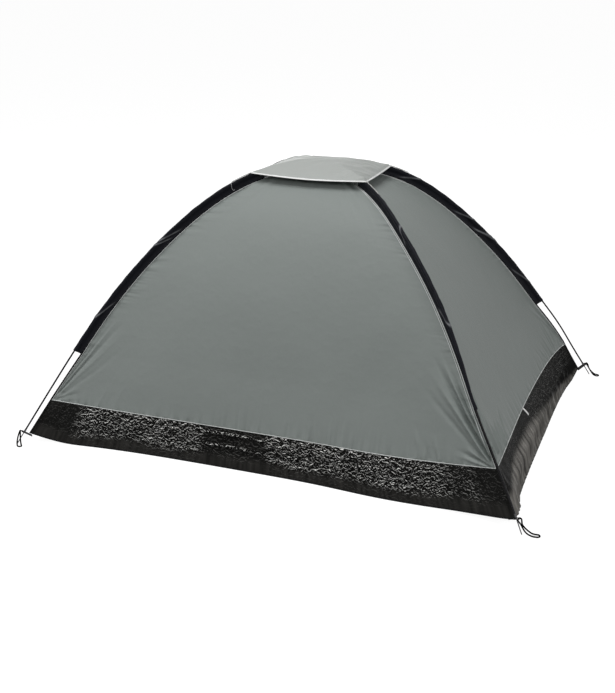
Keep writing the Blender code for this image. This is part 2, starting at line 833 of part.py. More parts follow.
def build_slider(name, point, outward, travel, puller_turn):
    """A zip slider on the outside of the chain, with a puller turned from its way of travel."""
    frame = Matrix((travel, outward.cross(travel), outward)).transposed().to_4x4()
    frame.translation = point
    lift = TAPE_PROUD + SLIDER_AIR
    size = (SLIDER_LENGTH, SLIDER_WIDTH, SLIDER_HEIGHT)
    body = slider_block(name, size, (0, 0, lift + SLIDER_HEIGHT / 2), frame, TENT)
    body.data.materials.append(FINISH["steel"])
    size = (PULLER_LENGTH, PULLER_WIDTH, PULLER_THICKNESS)
    height = lift + SLIDER_HEIGHT - PULLER_THICKNESS / 2 + GAP
    hang = frame @ Matrix.Rotation(puller_turn, 4, "Z")
    puller = slider_block(name + "_puller", size, (PULLER_LENGTH / 2, 0, height), hang, CUTTERS)
    bevel = body.modifiers.new("edges", "BEVEL")
    bevel.width = SLIDER_HEIGHT / 5
    bevel.segments = 1
    cut(body, hide_cutter(puller), "UNION")
    return body


def build_door():
    hinge_point = door_hinge_point()
    hinge = empty_at("door_hinge", hinge_point)
    wall = canopy_sheet("canopy_wall_door", "door")
    cut(wall, doorway_cutter("doorway", 0.0, DOOR_HINGE_X), "DIFFERENCE")
    build_zip_tape("zip_tape_wall", GAP)
    door_tape = build_zip_tape("zip_tape_door", GAP + TAPE_STEP)
    door = canopy_sheet("door_panel", "door")
    cut(door, doorway_cutter("door_edge", GAP + 2 * TAPE_STEP, DOOR_HINGE_X + GAP), "INTERSECT")
    for thing in (door_tape, door):
        move_origin(thing, hinge_point)
        attach(thing, hinge)

    zip_middle = TAPE_STEP + GAP / 2
    sill_place, sill_out = door_face(zip_middle)
    sill_place.x = DOOR_FREE_X - DOOR_FOOT_RADIUS - SLIDER_START
    to_hinge = Vector((-1, 0, 0))
    sill = build_slider("zip_slider_sill", sill_place, sill_out, to_hinge, math.pi / 2)

    rise = DOOR_FOOT_RADIUS + SLIDER_START
    side_place, side_out = door_face(rise)
    way_up = (door_face(rise + SIDE_SLIDER_TRAVEL)[0] - side_place).normalized()
    side_out = Vector((0, way_up.z, -way_up.y))
    side_place.x = DOOR_FREE_X - zip_middle
    side = build_slider("zip_slider_side", side_place, side_out, way_up, math.pi)
    for slider, place in ((sill, sill_place), (side, side_place)):
        move_origin(slider, place)
        attach(slider, hinge)


# Corner tabs, eyelets and peg loops


def loop_pivot(corner):
    """World place of the peg loop's pivot, inside the curled end of the corner tab."""
    frame = corner_matrix(corner, CORNER_AT)
    return frame @ Vector((TAB_REACH, 0, -curl_radius()))


def curl_radius():
    """Radius of the tab's curled end at the middle of its thickness."""
    return LOOP_CORD_OD / 2 + LOOP_ROOM + TAB_THICKNESS / 2


def build_corner_tab(corner):
    """Webbing from the tub's corner past the pole's pin, its end curled round the peg loop."""
    curl = curl_radius()
    inner = -fin_depth(CORNER_AT) - TAB_INNER_OVERRUN
    route = [(inner, 0, TAB_HALF_WIDTH), (0, 0, TAB_HALF_WIDTH)]
    route += [(TAB_REACH - 2 * curl, 0, TAB_HALF_WIDTH), (TAB_REACH - curl, 0, TONGUE_HALF_WIDTH)]
    for i in range(CURL_STEPS + 1):
        angle = math.radians(90 - TAB_CURL_DEG * i / CURL_STEPS)
        route.append((TAB_REACH + curl * math.cos(angle), curl * (math.sin(angle) - 1), TONGUE_HALF_WIDTH))
    frame = corner_matrix(corner, CORNER_AT)

    def place(side, k):
        along, rise, half_width = route[k]
        return frame @ Vector((along, side * half_width, rise))

    upward = frame.to_3x3() @ Vector((0, 0, 1))
    steps = range(len(route))
    tab = sheet(f"corner_tab_{corner}", (-1, 1), steps, place, upward, "webbing", TAB_THICKNESS, offset=0)
    hole = EYELET_FIT + PIN_OD / 2 + EYELET_BARREL + GAP
    bpy.ops.mesh.primitive_cylinder_add(vertices=HOLE_STEPS, radius=hole, depth=4 * TAB_THICKNESS)
    cutter = take_primitive(f"eyelet_hole_{corner}", frame, CUTTERS)
    cut(tab, hide_cutter(cutter), "DIFFERENCE")


def build_eyelet(corner):
    """A two-flanged eyelet that lines the tab's hole, round the pole's pin."""
    inner = PIN_OD / 2 + EYELET_FIT
    barrel = inner + EYELET_BARREL
    flange = barrel + EYELET_FLANGE
    half = EYELET_HALF - EYELET_FLANGE_THICKNESS
    profile = [
        (inner, EYELET_HALF),
        (flange, EYELET_HALF),
        (flange, half),
        (barrel, half),
        (barrel, -half),
        (flange, -half),
        (flange, -EYELET_HALF),
        (inner, -EYELET_HALF),
    ]
    eyelet = turned(f"eyelet_{corner}", profile, TURN_STEPS, "steel", closed=True)
    eyelet.matrix_world = corner_matrix(corner, CORNER_AT)


def loop_route(corner):
    """Points of a closed peg loop: its bar in the tab's curl, two strands to the ground and a round end."""
    pivot = loop_pivot(corner)
    reach = LOOP_REACH[corner]
    turn = math.radians(LOOP_TURN_DEG[corner])
    ground = LOOP_CORD_OD / 2
    bar = TONGUE_HALF_WIDTH + GAP + ground
    outward = in_corner_plane(corner, 1, 0)
    across = in_corner_plane(corner, 0, 0, 1)

    def strand(distance, offset):
        """A point of the loop, which swings round by the turn and meets the ground on its way out."""
        share = distance / (reach + LOOP_HALF_WIDTH)
        to_ground = min(share / LOOP_GROUND_SHARE, 1.0)
        height = ground + (pivot.z - ground) * (1 - to_ground) ** 2
        lean = turn * share
        ahead = outward * math.cos(lean) + across * math.sin(lean)
        aside = across * math.cos(lean) - outward * math.sin(lean)
        flat = Vector((pivot.x, pivot.y, 0)) + ahead * distance + aside * offset
        return Vector((flat.x, flat.y, height))

    points = [strand(0, 0), strand(0, bar)]
    side = []
    for i in range(STRAND_STEPS):
        spread = (bar - LOOP_HALF_WIDTH) * max(1 - i / (STRAND_STEPS - 1), 0) ** 2
        side.append((reach * (i + 1) / STRAND_STEPS, LOOP_HALF_WIDTH + spread))
    points += [strand(distance, offset) for distance, offset in side]
    for i in range(1, LOOP_END_STEPS):
        angle = math.pi * i / LOOP_END_STEPS
        points.append(strand(reach + LOOP_HALF_WIDTH * math.sin(angle), LOOP_HALF_WIDTH * math.cos(angle)))
    points += [strand(distance, -offset) for distance, offset in reversed(side)]
    points.append(strand(0, -bar))
    return points


def build_peg_loop(corner):
    pivot = loop_pivot(corner)
    hinge = empty_at(f"peg_loop_pivot_{corner}", pivot)
    points = [point - pivot for point in loop_route(corner)]
    loop = tube(f"peg_loop_{corner}", points, LOOP_CORD_OD / 2, "webbing", fineness=1, cyclic=True)
    loop.parent = hinge


def build_tent():
    for pole in POLES:
        build_pole(pole)
    build_floor()
    for side in ("back", "door", "left", "right"):
        build_tub_wall(side)
    for side in ("back", "left", "right"):
        canopy_sheet(f"canopy_wall_{side}", side)
    build_roof_mesh()
    for corner in CORNERS:
        build_pole_tip(corner)
        build_sleeve(corner)
        build_corner_tab(corner)
        build_eyelet(corner)
        build_peg_loop(corner)
    build_cover()
    build_door()


build_tent()
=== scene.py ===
"""Looks of a small dome tent on two crossed poles: cloth, seams, sleeves, webbing, cords and zip.

Metres, +Z up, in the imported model's frame. The back, the plain long side, faces -Y and the door faces +Y.
"""

import bisect
import functools
import json
import math

import bpy
import numpy
from mathutils import Matrix, Vector, noise

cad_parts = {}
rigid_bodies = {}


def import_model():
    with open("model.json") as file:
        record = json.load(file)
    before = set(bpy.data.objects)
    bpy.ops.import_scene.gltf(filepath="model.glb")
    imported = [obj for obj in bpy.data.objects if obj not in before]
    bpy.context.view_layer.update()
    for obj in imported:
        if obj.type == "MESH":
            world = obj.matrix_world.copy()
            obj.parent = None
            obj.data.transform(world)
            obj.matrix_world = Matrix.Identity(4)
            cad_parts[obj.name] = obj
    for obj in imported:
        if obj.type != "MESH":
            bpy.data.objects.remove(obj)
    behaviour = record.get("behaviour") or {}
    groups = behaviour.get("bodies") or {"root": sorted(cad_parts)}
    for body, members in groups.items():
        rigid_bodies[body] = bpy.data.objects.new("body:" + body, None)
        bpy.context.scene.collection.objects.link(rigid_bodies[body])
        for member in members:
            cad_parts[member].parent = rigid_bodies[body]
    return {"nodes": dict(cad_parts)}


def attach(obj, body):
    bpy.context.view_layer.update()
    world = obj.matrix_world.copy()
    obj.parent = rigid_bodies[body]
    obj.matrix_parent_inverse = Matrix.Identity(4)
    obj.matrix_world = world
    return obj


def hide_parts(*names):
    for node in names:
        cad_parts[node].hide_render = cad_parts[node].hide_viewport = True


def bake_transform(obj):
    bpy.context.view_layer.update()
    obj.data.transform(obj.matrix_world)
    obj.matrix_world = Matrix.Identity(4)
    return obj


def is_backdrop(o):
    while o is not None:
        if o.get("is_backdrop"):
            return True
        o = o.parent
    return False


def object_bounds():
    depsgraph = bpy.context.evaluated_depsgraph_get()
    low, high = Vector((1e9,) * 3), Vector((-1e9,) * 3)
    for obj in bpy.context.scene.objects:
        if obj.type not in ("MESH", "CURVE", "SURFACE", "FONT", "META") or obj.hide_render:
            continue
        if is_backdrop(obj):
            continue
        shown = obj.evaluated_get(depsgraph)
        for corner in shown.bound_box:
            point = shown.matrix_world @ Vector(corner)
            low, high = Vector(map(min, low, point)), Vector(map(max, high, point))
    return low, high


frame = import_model()
CAD_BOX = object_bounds()

# Camera and light
CAMERA_AT = (1.569, -4.376, 2.111)
CAMERA_YAW_DEG = 20.44
CAMERA_PITCH_DEG = -21.52
CAMERA_LENS = 60.67
CAMERA_SENSOR = 36
CAMERA_SIGHT = 200
FLOOR_HALF = 60.0
FLOOR_GREY = 0.20
FLOOR_GLOW = 0.95
WORLD_LIGHT = 0.13
# Each lamp's place, aim, width, height and watts
LAMPS = {
    "overhead": ((-0.6, -1.4, 5.4), (0, 0, 0.5), 2.6, 2.6, 190),
    "left_key": ((-4.6, -3.6, 3.0), (0, 0, 0.4), 1.6, 1.2, 97),
    "door_fill": ((-1.8, 5.2, 0.9), (0, 0.6, 0.4), 1.8, 1.0, 40),
    "right_fill": ((5.2, -2.2, 2.6), (0.5, 0, 0.4), 1.6, 1.0, 76),
}

# Poles, seams and sleeves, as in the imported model
TIP_SPAN_X = 2.06
TIP_SPAN_Y = 1.572
POLE_RISE = 1.098
BEND_GATHER = 2.3
SECTION_COUNT = 5
POLE_OD = 0.007
FERRULE_WALL = 0.0009
FERRULE_LENGTH = 0.070
FERRULE_FIT = 0.0004
CRIMPED_RINGS = (3, 4, 20, 21)      # of a ferrule's 25
CRIMP_WAIST = 0.94
PIN_OD = 0.004
PIN_LENGTH = 0.062
COLLAR_OD = 0.0084
COLLAR_LENGTH = 0.014
SPIGOT_OD = 0.0026
SPIGOT_LENGTH = 0.020
CLOTH = 0.0012
SLEEVE_CLOTH = 0.0007
GAP = 0.0003
FIN_FOOT = 0.022
FIN_SLEEVE = 0.034
SLEEVE_FOOT_AT = 0.46
SLEEVE_ROOM = 0.0008
SLEEVE_WRAP_DEG = 105
BAND_HEIGHT = 0.165
FLOOR_BOW_SIDE = 0.0715
FLOOR_BOW_END = 0.033
CORNER_LIFT_FROM = 0.8
WALL_HOLLOW = {"back": 0.030, "door": 0.0, "left": 0.040, "right": 0.040}
COVER_CORNER_AT = 1.47
COVER_HOLLOW = 0.005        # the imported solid's edges are hollower
COVER_DROOP = 0.006
COVER_RIDGE_ROOM = 0.0014
SLEEVE_UNDER_COVER = 0.050
VENT_UNDER_COVER = 0.150
ELASTIC_OD = 0.003
ELASTIC_LENGTH = 0.085
ELASTIC_DROP = 0.024
HOOK_WIRE = 0.0018
DOOR_WIDTH = 0.72
DOOR_ABOVE_BAND = 0.040
DOOR_HEIGHT = 0.655
DOOR_FOOT_RADIUS = 0.07
DOOR_HEAD_RADIUS = 0.26
TAPE_WIDTH = 0.011
TAPE_PROUD = 0.0004
COIL_AT = 0.0015            # the chain's distance in from its tape's edge
DOOR_UNDER_TAPE = 0.0008    # how far the door's cloth reaches under its tape
SLIDER_LENGTH = 0.012
SLIDER_WIDTH = 0.009
SLIDER_HEIGHT = 0.0035
SLIDER_AIR = 0.0008
PULLER_LENGTH = 0.034
PULLER_WIDTH = 0.007
PULLER_THICKNESS = 0.0016
PULLER_HOLE = 0.0032
SLIDER_START = 0.020
SIDE_SLIDER_TRAVEL = 0.24
DOORWAY_CUT_DEPTH = 0.15
ZIP_STEP = 0.006
TAB_THICKNESS = 0.0012
TAB_HALF_WIDTH = 0.010
TONGUE_HALF_WIDTH = 0.005
TAB_CURL_DEG = 240
TAB_REACH = 0.0165
TAB_TUCK = 0.014            # how far a tab reaches in under the tub's corner
TAB_BOX_INSET = 0.004       # the stitched box on a tab
TAB_BOX_FROM_PIN = 0.0095
TAB_BOX_HALF = 0.0075
EYELET_BARREL = 0.001
EYELET_FLANGE = 0.0026
EYELET_FLANGE_THICKNESS = 0.0007
EYELET_FIT = 0.0008
LOOP_CORD_OD = 0.0045
LOOP_ROOM = 0.0005
LOOP_HALF_WIDTH = 0.0088
LOOP_REACH = {"back_left": 0.024, "back_right": 0.066, "door_right": 0.050, "door_left": 0.050}
LOOP_TURN_DEG = {"back_left": 72, "back_right": 37, "door_right": -34, "door_left": 12}
LOOP_GROUND_SHARE = 0.8
LOOP_SHOWN_OD = 0.0060
LOOP_CLOSED_FROM = 0.04     # a loop longer than this is closed up beside its tab
LOOP_CLOSED = 0.52          # half the way between its strands there, as a share of the cord
LOOP_THROAT = 0.0032        # where its strands leave the tab's curl

# Cloth as it shows
CANOPY_SKIN = 0.0005
COVER_SKIN = 0.0006
COVER_FOLD = 0.0070
COVER_CREASE = 0.0080
COVER_WAVE = 0.0016
NET_SKIN = 0.0004
TUB_SKIN = 0.0006
FLOOR_CREASE = 0.0035
FLOOR_SMALL_CREASE = 0.0018
PANEL_TRIM = 0.0013         # how far a wall's cloth stops short of the corner seam's line
WALL_COLUMNS = 270
WALL_ROWS = 136
EDGE_GATHER = 1.6           # how far the columns gather towards the corner seams
ROW_GATHER = 1.3            # how far the rows gather towards the tub's seam
SEAM_HOLD = 0.005
WAVE_HOLD = 0.14
SLOW_WAVE = 0.0060
SMALL_WAVE = 0.0018
SEAM_PUCKER = 0.0032
PUCKER_REACH = 0.026
BAND_RIPPLE = 0.0042
RIPPLE_REACH = 0.022
HEAD_FOLD = 0.0065
SEAM_FELL_AT = 0.0085       # a raised fold beside each corner seam
SEAM_FELL = 0.0011
CORNER_PULL = {("back", 1): 1.6, ("back", -1): 0.35, ("right", -1): 2.4, ("right", 1): 0.6}
OTHER_CORNER_PULL = 0.5
WALL_SEED = {"back": 3.0, "door": 17.0, "left": 31.0, "right": 47.0}
TUB_COLUMNS = {"back": 500, "door": 460, "left": 360, "right": 380}
TUB_ROWS = 44
CRINKLE_COARSE = 0.0050
CRINKLE_FINE = 0.0030
CORNER_PLEAT = 0.0060       # pleats of a tub wall beside its ends
END_STREAK = 0.0060         # upright streaks low on an end wall
TUB_WAVE = 0.0030
TUB_WAIST_AT = 0.42         # share of the band's height at which its lower fold lies
TUB_WAIST = {"back": 0.004, "door": 0.004, "left": -0.010, "right": -0.012}
FLOOR_BOW_END_SLACK = 0.008 # the end walls' foot lies this much further out than drawn taut

# Folds at a wall's low corner: start and end as (inward, up) in metres, half width, height
CORNER_FOLDS = (
    ((0.004, 0.010), (0.082, 0.42), 0.0095, -0.0095),
    ((0.003, 0.014), (0.056, 0.43), 0.0070, 0.0080),
    ((0.002, 0.020), (0.038, 0.40), 0.0060, -0.0070),
    ((0.002, 0.030), (0.022, 0.34), 0.0045, 0.0050),
    ((0.010, 0.010), (0.112, 0.36), 0.0110, 0.0060),
    ((0.020, 0.008), (0.165, 0.31), 0.0130, -0.0040),
    ((0.012, 0.006), (0.090, 0.080), 0.0065, 0.0042),
    ((0.012, 0.004), (0.120, 0.064), 0.0065, -0.0042),
    ((0.030, 0.003), (0.130, 0.036), 0.0055, 0.0034),
    ((0.205, 0.000), (0.190, 0.110), 0.0060, 0.0034),
    ((0.240, 0.000), (0.236, 0.085), 0.0055, -0.0030),
    ((0.270, 0.000), (0.262, 0.130), 0.0070, 0.0032),
)
END_CORNER_FOLDS = (
    ((0.004, 0.010), (0.030, 0.36), 0.0060, 0.0060),
    ((0.006, 0.008), (0.052, 0.33), 0.0070, -0.0065),
    ((0.010, 0.006), (0.085, 0.30), 0.0080, 0.0055),
    ((0.080, 0.030), (0.036, 0.170), 0.0060, -0.0048),
    ((0.110, 0.020), (0.062, 0.190), 0.0070, 0.0052),
    ((0.140, 0.012), (0.098, 0.180), 0.0070, -0.0045),
    ((0.170, 0.000), (0.150, 0.140), 0.0065, 0.0045),
    ((0.205, 0.000), (0.200, 0.120), 0.0065, -0.0045),
    ((0.240, 0.000), (0.250, 0.115), 0.0070, 0.0042),
    ((0.290, 0.000), (0.305, 0.130), 0.0075, -0.0036),
)

# How strongly the back tub wall is crumpled, at places along it
BACK_CRUMPLES = (
    (-0.92, 0.04), (-0.79, 0.06), (-0.74, 0.85), (-0.40, 0.90), (-0.20, 0.95), (0.06, 0.95), (0.10, 1.0),
    (0.50, 1.0), (0.60, 0.75), (0.68, 0.75), (0.75, 0.20), (0.80, 0.30), (0.84, 0.06), (0.93, 0.05),
)
LENS = (-0.27, 0.05)            # a smooth stretch of that wall, between two long folds
LENS_TOP = 0.140
LENS_FOOT = 0.088
# How far up the back wall's cloth is gathered above the tub's seam, at places along it
BACK_GATHERS = (
    (-0.90, 0.016), (-0.60, 0.012), (-0.25, 0.015), (-0.12, 0.050), (-0.04, 0.050), (0.02, 0.018),
    (0.10, 0.035), (0.20, 0.050), (0.30, 0.055), (0.42, 0.050), (0.50, 0.022), (0.62, 0.030), (0.67, 0.075),
    (0.72, 0.030), (0.90, 0.030),
)

# How high up an end wall pale streaks are painted on the sheeting as painted reflection, as a share of its
# height, at places along it
END_SHEEN_HEIGHTS = (
    (-0.74, 0.25), (-0.60, 0.50), (-0.40, 0.66), (-0.10, 0.62), (0.20, 0.42), (0.50, 0.25), (0.74, 0.0),
)

# How this tent was pitched: the seam drawn to the pole, the band's rise and the foot's shift at each corner
SEAM_EASE = {"back_left": 0.0, "back_right": 0.025, "door_right": 0.0, "door_left": 0.0}
SEAM_EASE_AT = 0.42
SEAM_EASE_REACH = 0.30
BAND_RISE = {"back_left": 0.014, "back_right": 0.024, "door_right": -0.012, "door_left": 0.004}
BAND_RISE_REACH = {"back": 0.33, "door": 0.2, "left": 0.12, "right": 0.10}
FOOT_SHIFT = {
    "back_left": (-0.006, 0.004),
    "back_right": (0.016, 0.006),
    "door_right": (-0.010, -0.006),
    "door_left": (0.0, 0.0),
}
FOOT_SHIFT_REACH = 0.16
END_BULGE = 0.013           # the right tub wall stands out beside its back corner
END_BULGE_AT = 0.07
# Where the pitched tent has sunk or spread: place, move and reach
SETTLES = (
    ((-0.300, 0.235, 1.020), (0.0, 0.0, -0.022), 0.24),
    ((0.521, 0.397, 0.829), (-0.009, -0.007, -0.016), 0.36),
    ((-0.521, -0.397, 0.829), (0.004, 0.003, -0.008), 0.30),
    ((0.060, 0.100, 1.090), (0.0, 0.0, -0.011), 0.30),
    ((0.896, 0.684, 0.248), (0.008, 0.006, 0.005), 0.16),
    ((1.030, 0.786, 0.020), (0.019, -0.018, 0.0), 0.17),
    ((0.270, -0.200, 1.030), (0.010, 0.0, 0.008), 0.22),
    ((-0.270, -0.200, 1.030), (0.003, 0.0, 0.004), 0.18),
    ((0.606, -0.463, 0.724), (0.007, 0.0, 0.0), 0.24),
    ((0.824, -0.629, 0.380), (-0.013, 0.0, 0.0), 0.20),
    ((0.850, -0.760, 0.000), (0.0, 0.0, 0.013), 0.14),
    ((0.480, -0.750, 0.000), (0.0, -0.020, 0.0), 0.22),
)

# Trim
PIPING_WIDTH = 0.0027
PIPING_HEIGHT = 0.0011
BAND_PIPING_WIDTH = 0.0028
BAND_PIPING_HEIGHT = 0.0016
SEAM_THREAD_AT = 0.0052
BAND_THREAD_AT = 0.0055
# A pale strip along the raised fold beside a corner seam: a painted highlight where that fold catches the
# light
FELL_GLINT_AT = 0.0088
FELL_GLINT_WIDTH = 0.0018
FELL_GLINT_HEIGHT = 0.0006
HEM_WIDTH = 0.0060
HEM_HEIGHT = 0.0016
SEAM_TAPE_WIDTH = 0.0034
SEAM_WELT = 0.0060
BINDING_WIDTH = 0.0066
BINDING_PROUD = 0.0007
STITCH_LENGTH = 0.0032
STITCH_PITCH = 0.0044
STITCH_WIDTH = 0.0006
THREAD_LIFT = 0.0003        # how far a row of stitches lies off the cloth
TAPE_THREAD_LIFT = 0.0008   # the same on the zip's tapes
TAG_WIDTH = 0.013
TAG_LENGTH = 0.034
TAG_Y = -0.085
TAG_SKIN = 0.0004
TOOTH_PITCH = 0.0021
# A tooth's rings: half its length, half its width, and its height
TOOTH = ((0.0007, 0.0015, -0.0003), (0.0007, 0.0015, 0.0004), (0.0004, 0.0011, 0.0009))
SLEEVE_SKIN = 0.0005
SLEEVE_SWAY = 0.0030        # slow and small waves of a sleeve, its puffs between the joints, and its creases
SLEEVE_SMALL_SWAY = 0.0014
SLEEVE_PUFF = 0.0016
SLEEVE_CREASE = 0.0018
SLEEVE_CREASE_WIDTH = 0.0030
SLEEVE_HEM = 0.0005
SLEEVE_HEM_HEIGHT = 0.012
SLEEVE_THREAD_AT = 0.006
# Width of the painted highlight along each crease of a sleeve
CREASE_GLINT_WIDTH = 0.0024
# Creases across each sleeve: place along the pole, and how far they slant
SLEEVE_CREASES = {
    "back_left": ((1.04, -3.0), (1.01, -2.2), (0.64, -3.0)),
    "back_right": ((0.80, -2.6), (1.20, 2.2)),
    "door_right": ((1.02, -3.4), (0.90, -2.6), (0.88, -4.0), (0.60, -3.6), (1.34, -3.0)),
    "door_left": ((0.88, 2.6), (1.16, 2.2)),
}

# The sheeting's colours: plain, a painted highlight on the upward-facing edges of its creases, and pale
# streaks painted low down as painted reflection
SHEETING_COLOUR = (0.0135, 0.0135, 0.0128)
PAINTED_GLINT_COLOUR = (0.92, 0.92, 0.89)
LOW_SHEEN_COLOUR = (0.215, 0.205, 0.190)
SHEETING_ROUGHNESS = 0.24
RIDGE_SCALE = 53.0
RIDGE_STEP = 0.0015         # the height over which a crease is felt to face upwards, for its painted highlight
# How far a crease must face upwards before its painted highlight shows, and how quickly it brightens
GLINT_FROM = 0.19
GLINT_GAIN = 16.0

ARCH_STEPS = 400
BISECT_STEPS = 60
HAIR = 0.00001
SWEEP_EDGE_DEG = 50         # an edge of a swept or turned piece that is sharper than this shows as one
TURNED_EDGE_DEG = 35

CORNERS = {"back_left": (-1, -1), "back_right": (1, -1), "door_right": (1, 1), "door_left": (-1, 1)}
POLES = {"a": ("back_left", "door_right"), "b": ("back_right", "door_left")}
SIDES = ("back", "door", "left", "right")
WALL_CORNERS = {
    "back": ("back_left", "back_right"),
    "right": ("back_right", "door_right"),
    "door": ("door_right", "door_left"),
    "left": ("door_left", "back_left"),
}

HALF_DIAGONAL = math.hypot(TIP_SPAN_X, TIP_SPAN_Y) / 2
ALONG_X = TIP_SPAN_X / 2 / HALF_DIAGONAL
ALONG_Y = TIP_SPAN_Y / 2 / HALF_DIAGONAL
EYELET_HALF = TAB_THICKNESS / 2 + GAP + EYELET_FLANGE_THICKNESS
CORNER_AT = PIN_LENGTH - EYELET_HALF - GAP
SLEEVE_HEAD_AT = COVER_CORNER_AT + SLEEVE_UNDER_COVER
VENT_AT = COVER_CORNER_AT + VENT_UNDER_COVER
DOOR_HINGE_X = -DOOR_WIDTH / 2
DOOR_FREE_X = DOOR_WIDTH / 2
DOOR_SILL_Z = BAND_HEIGHT + DOOR_ABOVE_BAND
DOOR_TOP_Z = DOOR_SILL_Z + DOOR_HEIGHT
CROSSING_DROP = POLE_OD + GAP
CROSSING_REACH = 0.35
FERRULE_RADIUS = POLE_OD / 2 + FERRULE_FIT + FERRULE_WALL
SLEEVE_RADIUS = FERRULE_RADIUS + SLEEVE_ROOM
SLEEVE_OUTER = SLEEVE_RADIUS + SLEEVE_CLOTH
SECTION_FOOT_AT = PIN_LENGTH + COLLAR_LENGTH + GAP
CORD_END_AT = SECTION_FOOT_AT + SPIGOT_LENGTH
SHOCK_CORD_OD = 0.0022
TAPE_STEP = TAPE_WIDTH + GAP
# Rows of stitching beside the zip: distance in from the doorway's edge, and off the cloth
DOOR_THREADS = ((2 * TAPE_STEP + 0.0018, THREAD_LIFT), (TAPE_STEP + 0.0075, TAPE_THREAD_LIFT))
DOORWAY_THREADS = ((0.0028, TAPE_THREAD_LIFT), (-0.0020, THREAD_LIFT))
HINGE_THREAD_AT = 0.0025
# In place of a body: the door's pieces, fixed where they are built and attached to no body; the real door
# swings about the doorway's uncut edge
AT_HINGE = "at the hinge"


# The pole's arch, and the seams and walls that follow it


def solve_arch(reach, rise):
    """Headings of a half pole from foot to crown, and its step length, so that it ends level."""
    weights = [math.sin(math.pi / 2 * (i + 0.5) / ARCH_STEPS) ** BEND_GATHER for i in range(ARCH_STEPS)]
    total = sum(weights)
    shares = []
    turned = 0.0
    for weight in weights:
        shares.append(1 - (turned + weight / 2) / total)
        turned += weight
    low, high = 0.1, 2.8
    for _ in range(BISECT_STEPS):
        foot_angle = (low + high) / 2
        headings = [foot_angle * share for share in shares]
        slope = sum(map(math.sin, headings)) / sum(map(math.cos, headings))
        if slope < rise / reach:
            low = foot_angle
        else:
            high = foot_angle
    return headings, reach / sum(map(math.cos, headings))


ARCH_HEADINGS, ARCH_STEP = solve_arch(HALF_DIAGONAL, POLE_RISE)
HALF_POLE = ARCH_STEP * ARCH_STEPS
SECTION_LENGTH = 2 * HALF_POLE / SECTION_COUNT


def walk_arch():
    """Points of the half pole as (distance from the crown's plumb line, height)."""
    points = [(HALF_DIAGONAL, 0.0)]
    for heading in ARCH_HEADINGS:
        out, up = points[-1]
        points.append((out - ARCH_STEP * math.cos(heading), up + ARCH_STEP * math.sin(heading)))
    return points


ARCH_POINTS = walk_arch()


def arch_point(at):
    """The half pole's centre line at an arc length from its tip."""
    place = min(max(at / ARCH_STEP, 0), ARCH_STEPS - HAIR)
    i = int(place)
    share = place - i
    (out0, up0), (out1, up1) = ARCH_POINTS[i], ARCH_POINTS[i + 1]
    return out0 + share * (out1 - out0), up0 + share * (up1 - up0)


def arch_normal(at):
    """The outward normal of the half pole in its own plane, as (out, up)."""
    place = min(max(at / ARCH_STEP - 0.5, 0), ARCH_STEPS - 1 - HAIR)
    i = int(place)
    share = place - i
    heading = ARCH_HEADINGS[i] + share * (ARCH_HEADINGS[i + 1] - ARCH_HEADINGS[i])
    return math.sin(heading), math.cos(heading)


def beside_arch(at, outward):
    """A point beside the pole, moved outward from its centre line, as (out, up)."""
    out, up = arch_point(at)
    normal_out, normal_up = arch_normal(at)
    return out + outward * normal_out, up + outward * normal_up


def fin_depth(at):
    """How far the corner seam lies inside the pole."""
    share = min(max((at - CORNER_AT) / (SLEEVE_FOOT_AT - CORNER_AT), 0), 1)
    return FIN_FOOT + share * (FIN_SLEEVE - FIN_FOOT)


@functools.lru_cache(maxsize=None)
def seam_point(at):
    """The corner seam where the wall panels meet, as (out, up)."""
    return beside_arch(at, -fin_depth(at))


def arc_at_seam_height(height):
    """Arc length along the pole at which the corner seam reaches a height."""
    low, high = 0.0, HALF_POLE
    for _ in range(BISECT_STEPS):
        middle = (low + high) / 2
        if seam_point(middle)[1] < height:
            low = middle
        else:
            high = middle
    return (low + high) / 2


BAND_AT = arc_at_seam_height(BAND_HEIGHT)
CORNER_OUT, CORNER_UP = seam_point(CORNER_AT)
CORNER_X = CORNER_OUT * ALONG_X
CORNER_Y = CORNER_OUT * ALONG_Y
FLOOR_CORNER_LIFT = CORNER_UP - CLOTH - 0.0008


def in_corner_plane(corner, out, up, across=0.0):
    """World place of a point in the upright plane of a corner's diagonal, moved across that plane."""
    side_x, side_y = CORNERS[corner]
    x = out * ALONG_X * side_x - across * ALONG_Y * side_y
    y = out * ALONG_Y * side_y + across * ALONG_X * side_x
    return Vector((x, y, up))


def crossing_drop(pole, at):
    """How far pole b dips under pole a near the crown."""
    from_crown = HALF_POLE - at
    if pole == "a" or from_crown > CROSSING_REACH:
        return 0.0
    return CROSSING_DROP * (1 + math.cos(math.pi * from_crown / CROSSING_REACH)) / 2


def pole_point(pole, at):
    """World place on a whole pole, at an arc length from its first tip."""
    first, second = POLES[pole]
    corner, near = (first, at) if at <= HALF_POLE else (second, 2 * HALF_POLE - at)
    out, up = arch_point(near)
    return in_corner_plane(corner, out, up - crossing_drop(pole, near))


def on_side(side, along, out, up):
    """World place of a point given along a wall and outward from the tent's middle."""
    if side == "back":
        return Vector((along, -out, up))
    if side == "door":
        return Vector((-along, out, up))
    if side == "left":
        return Vector((-out, -along, up))
    return Vector((out, along, up))


@functools.lru_cache(maxsize=None)
def wall_row(side, at):
    """A wall at a seam arc length: half width, depth, height, normal as (outward, up), and taper."""
    out, up = seam_point(at)
    half, depth = out * ALONG_X, out * ALONG_Y
    if side in ("left", "right"):
        half, depth = depth, half
    (low_out, low_up), (high_out, high_up) = seam_point(at - 0.01), seam_point(at + 0.01)
    slope = Vector(((high_out - low_out) * depth / out, high_up - low_up)).normalized()
    taper = (high_out - low_out) / 0.02 * half / out
    return half, depth, up, (slope.y, -slope.x), taper


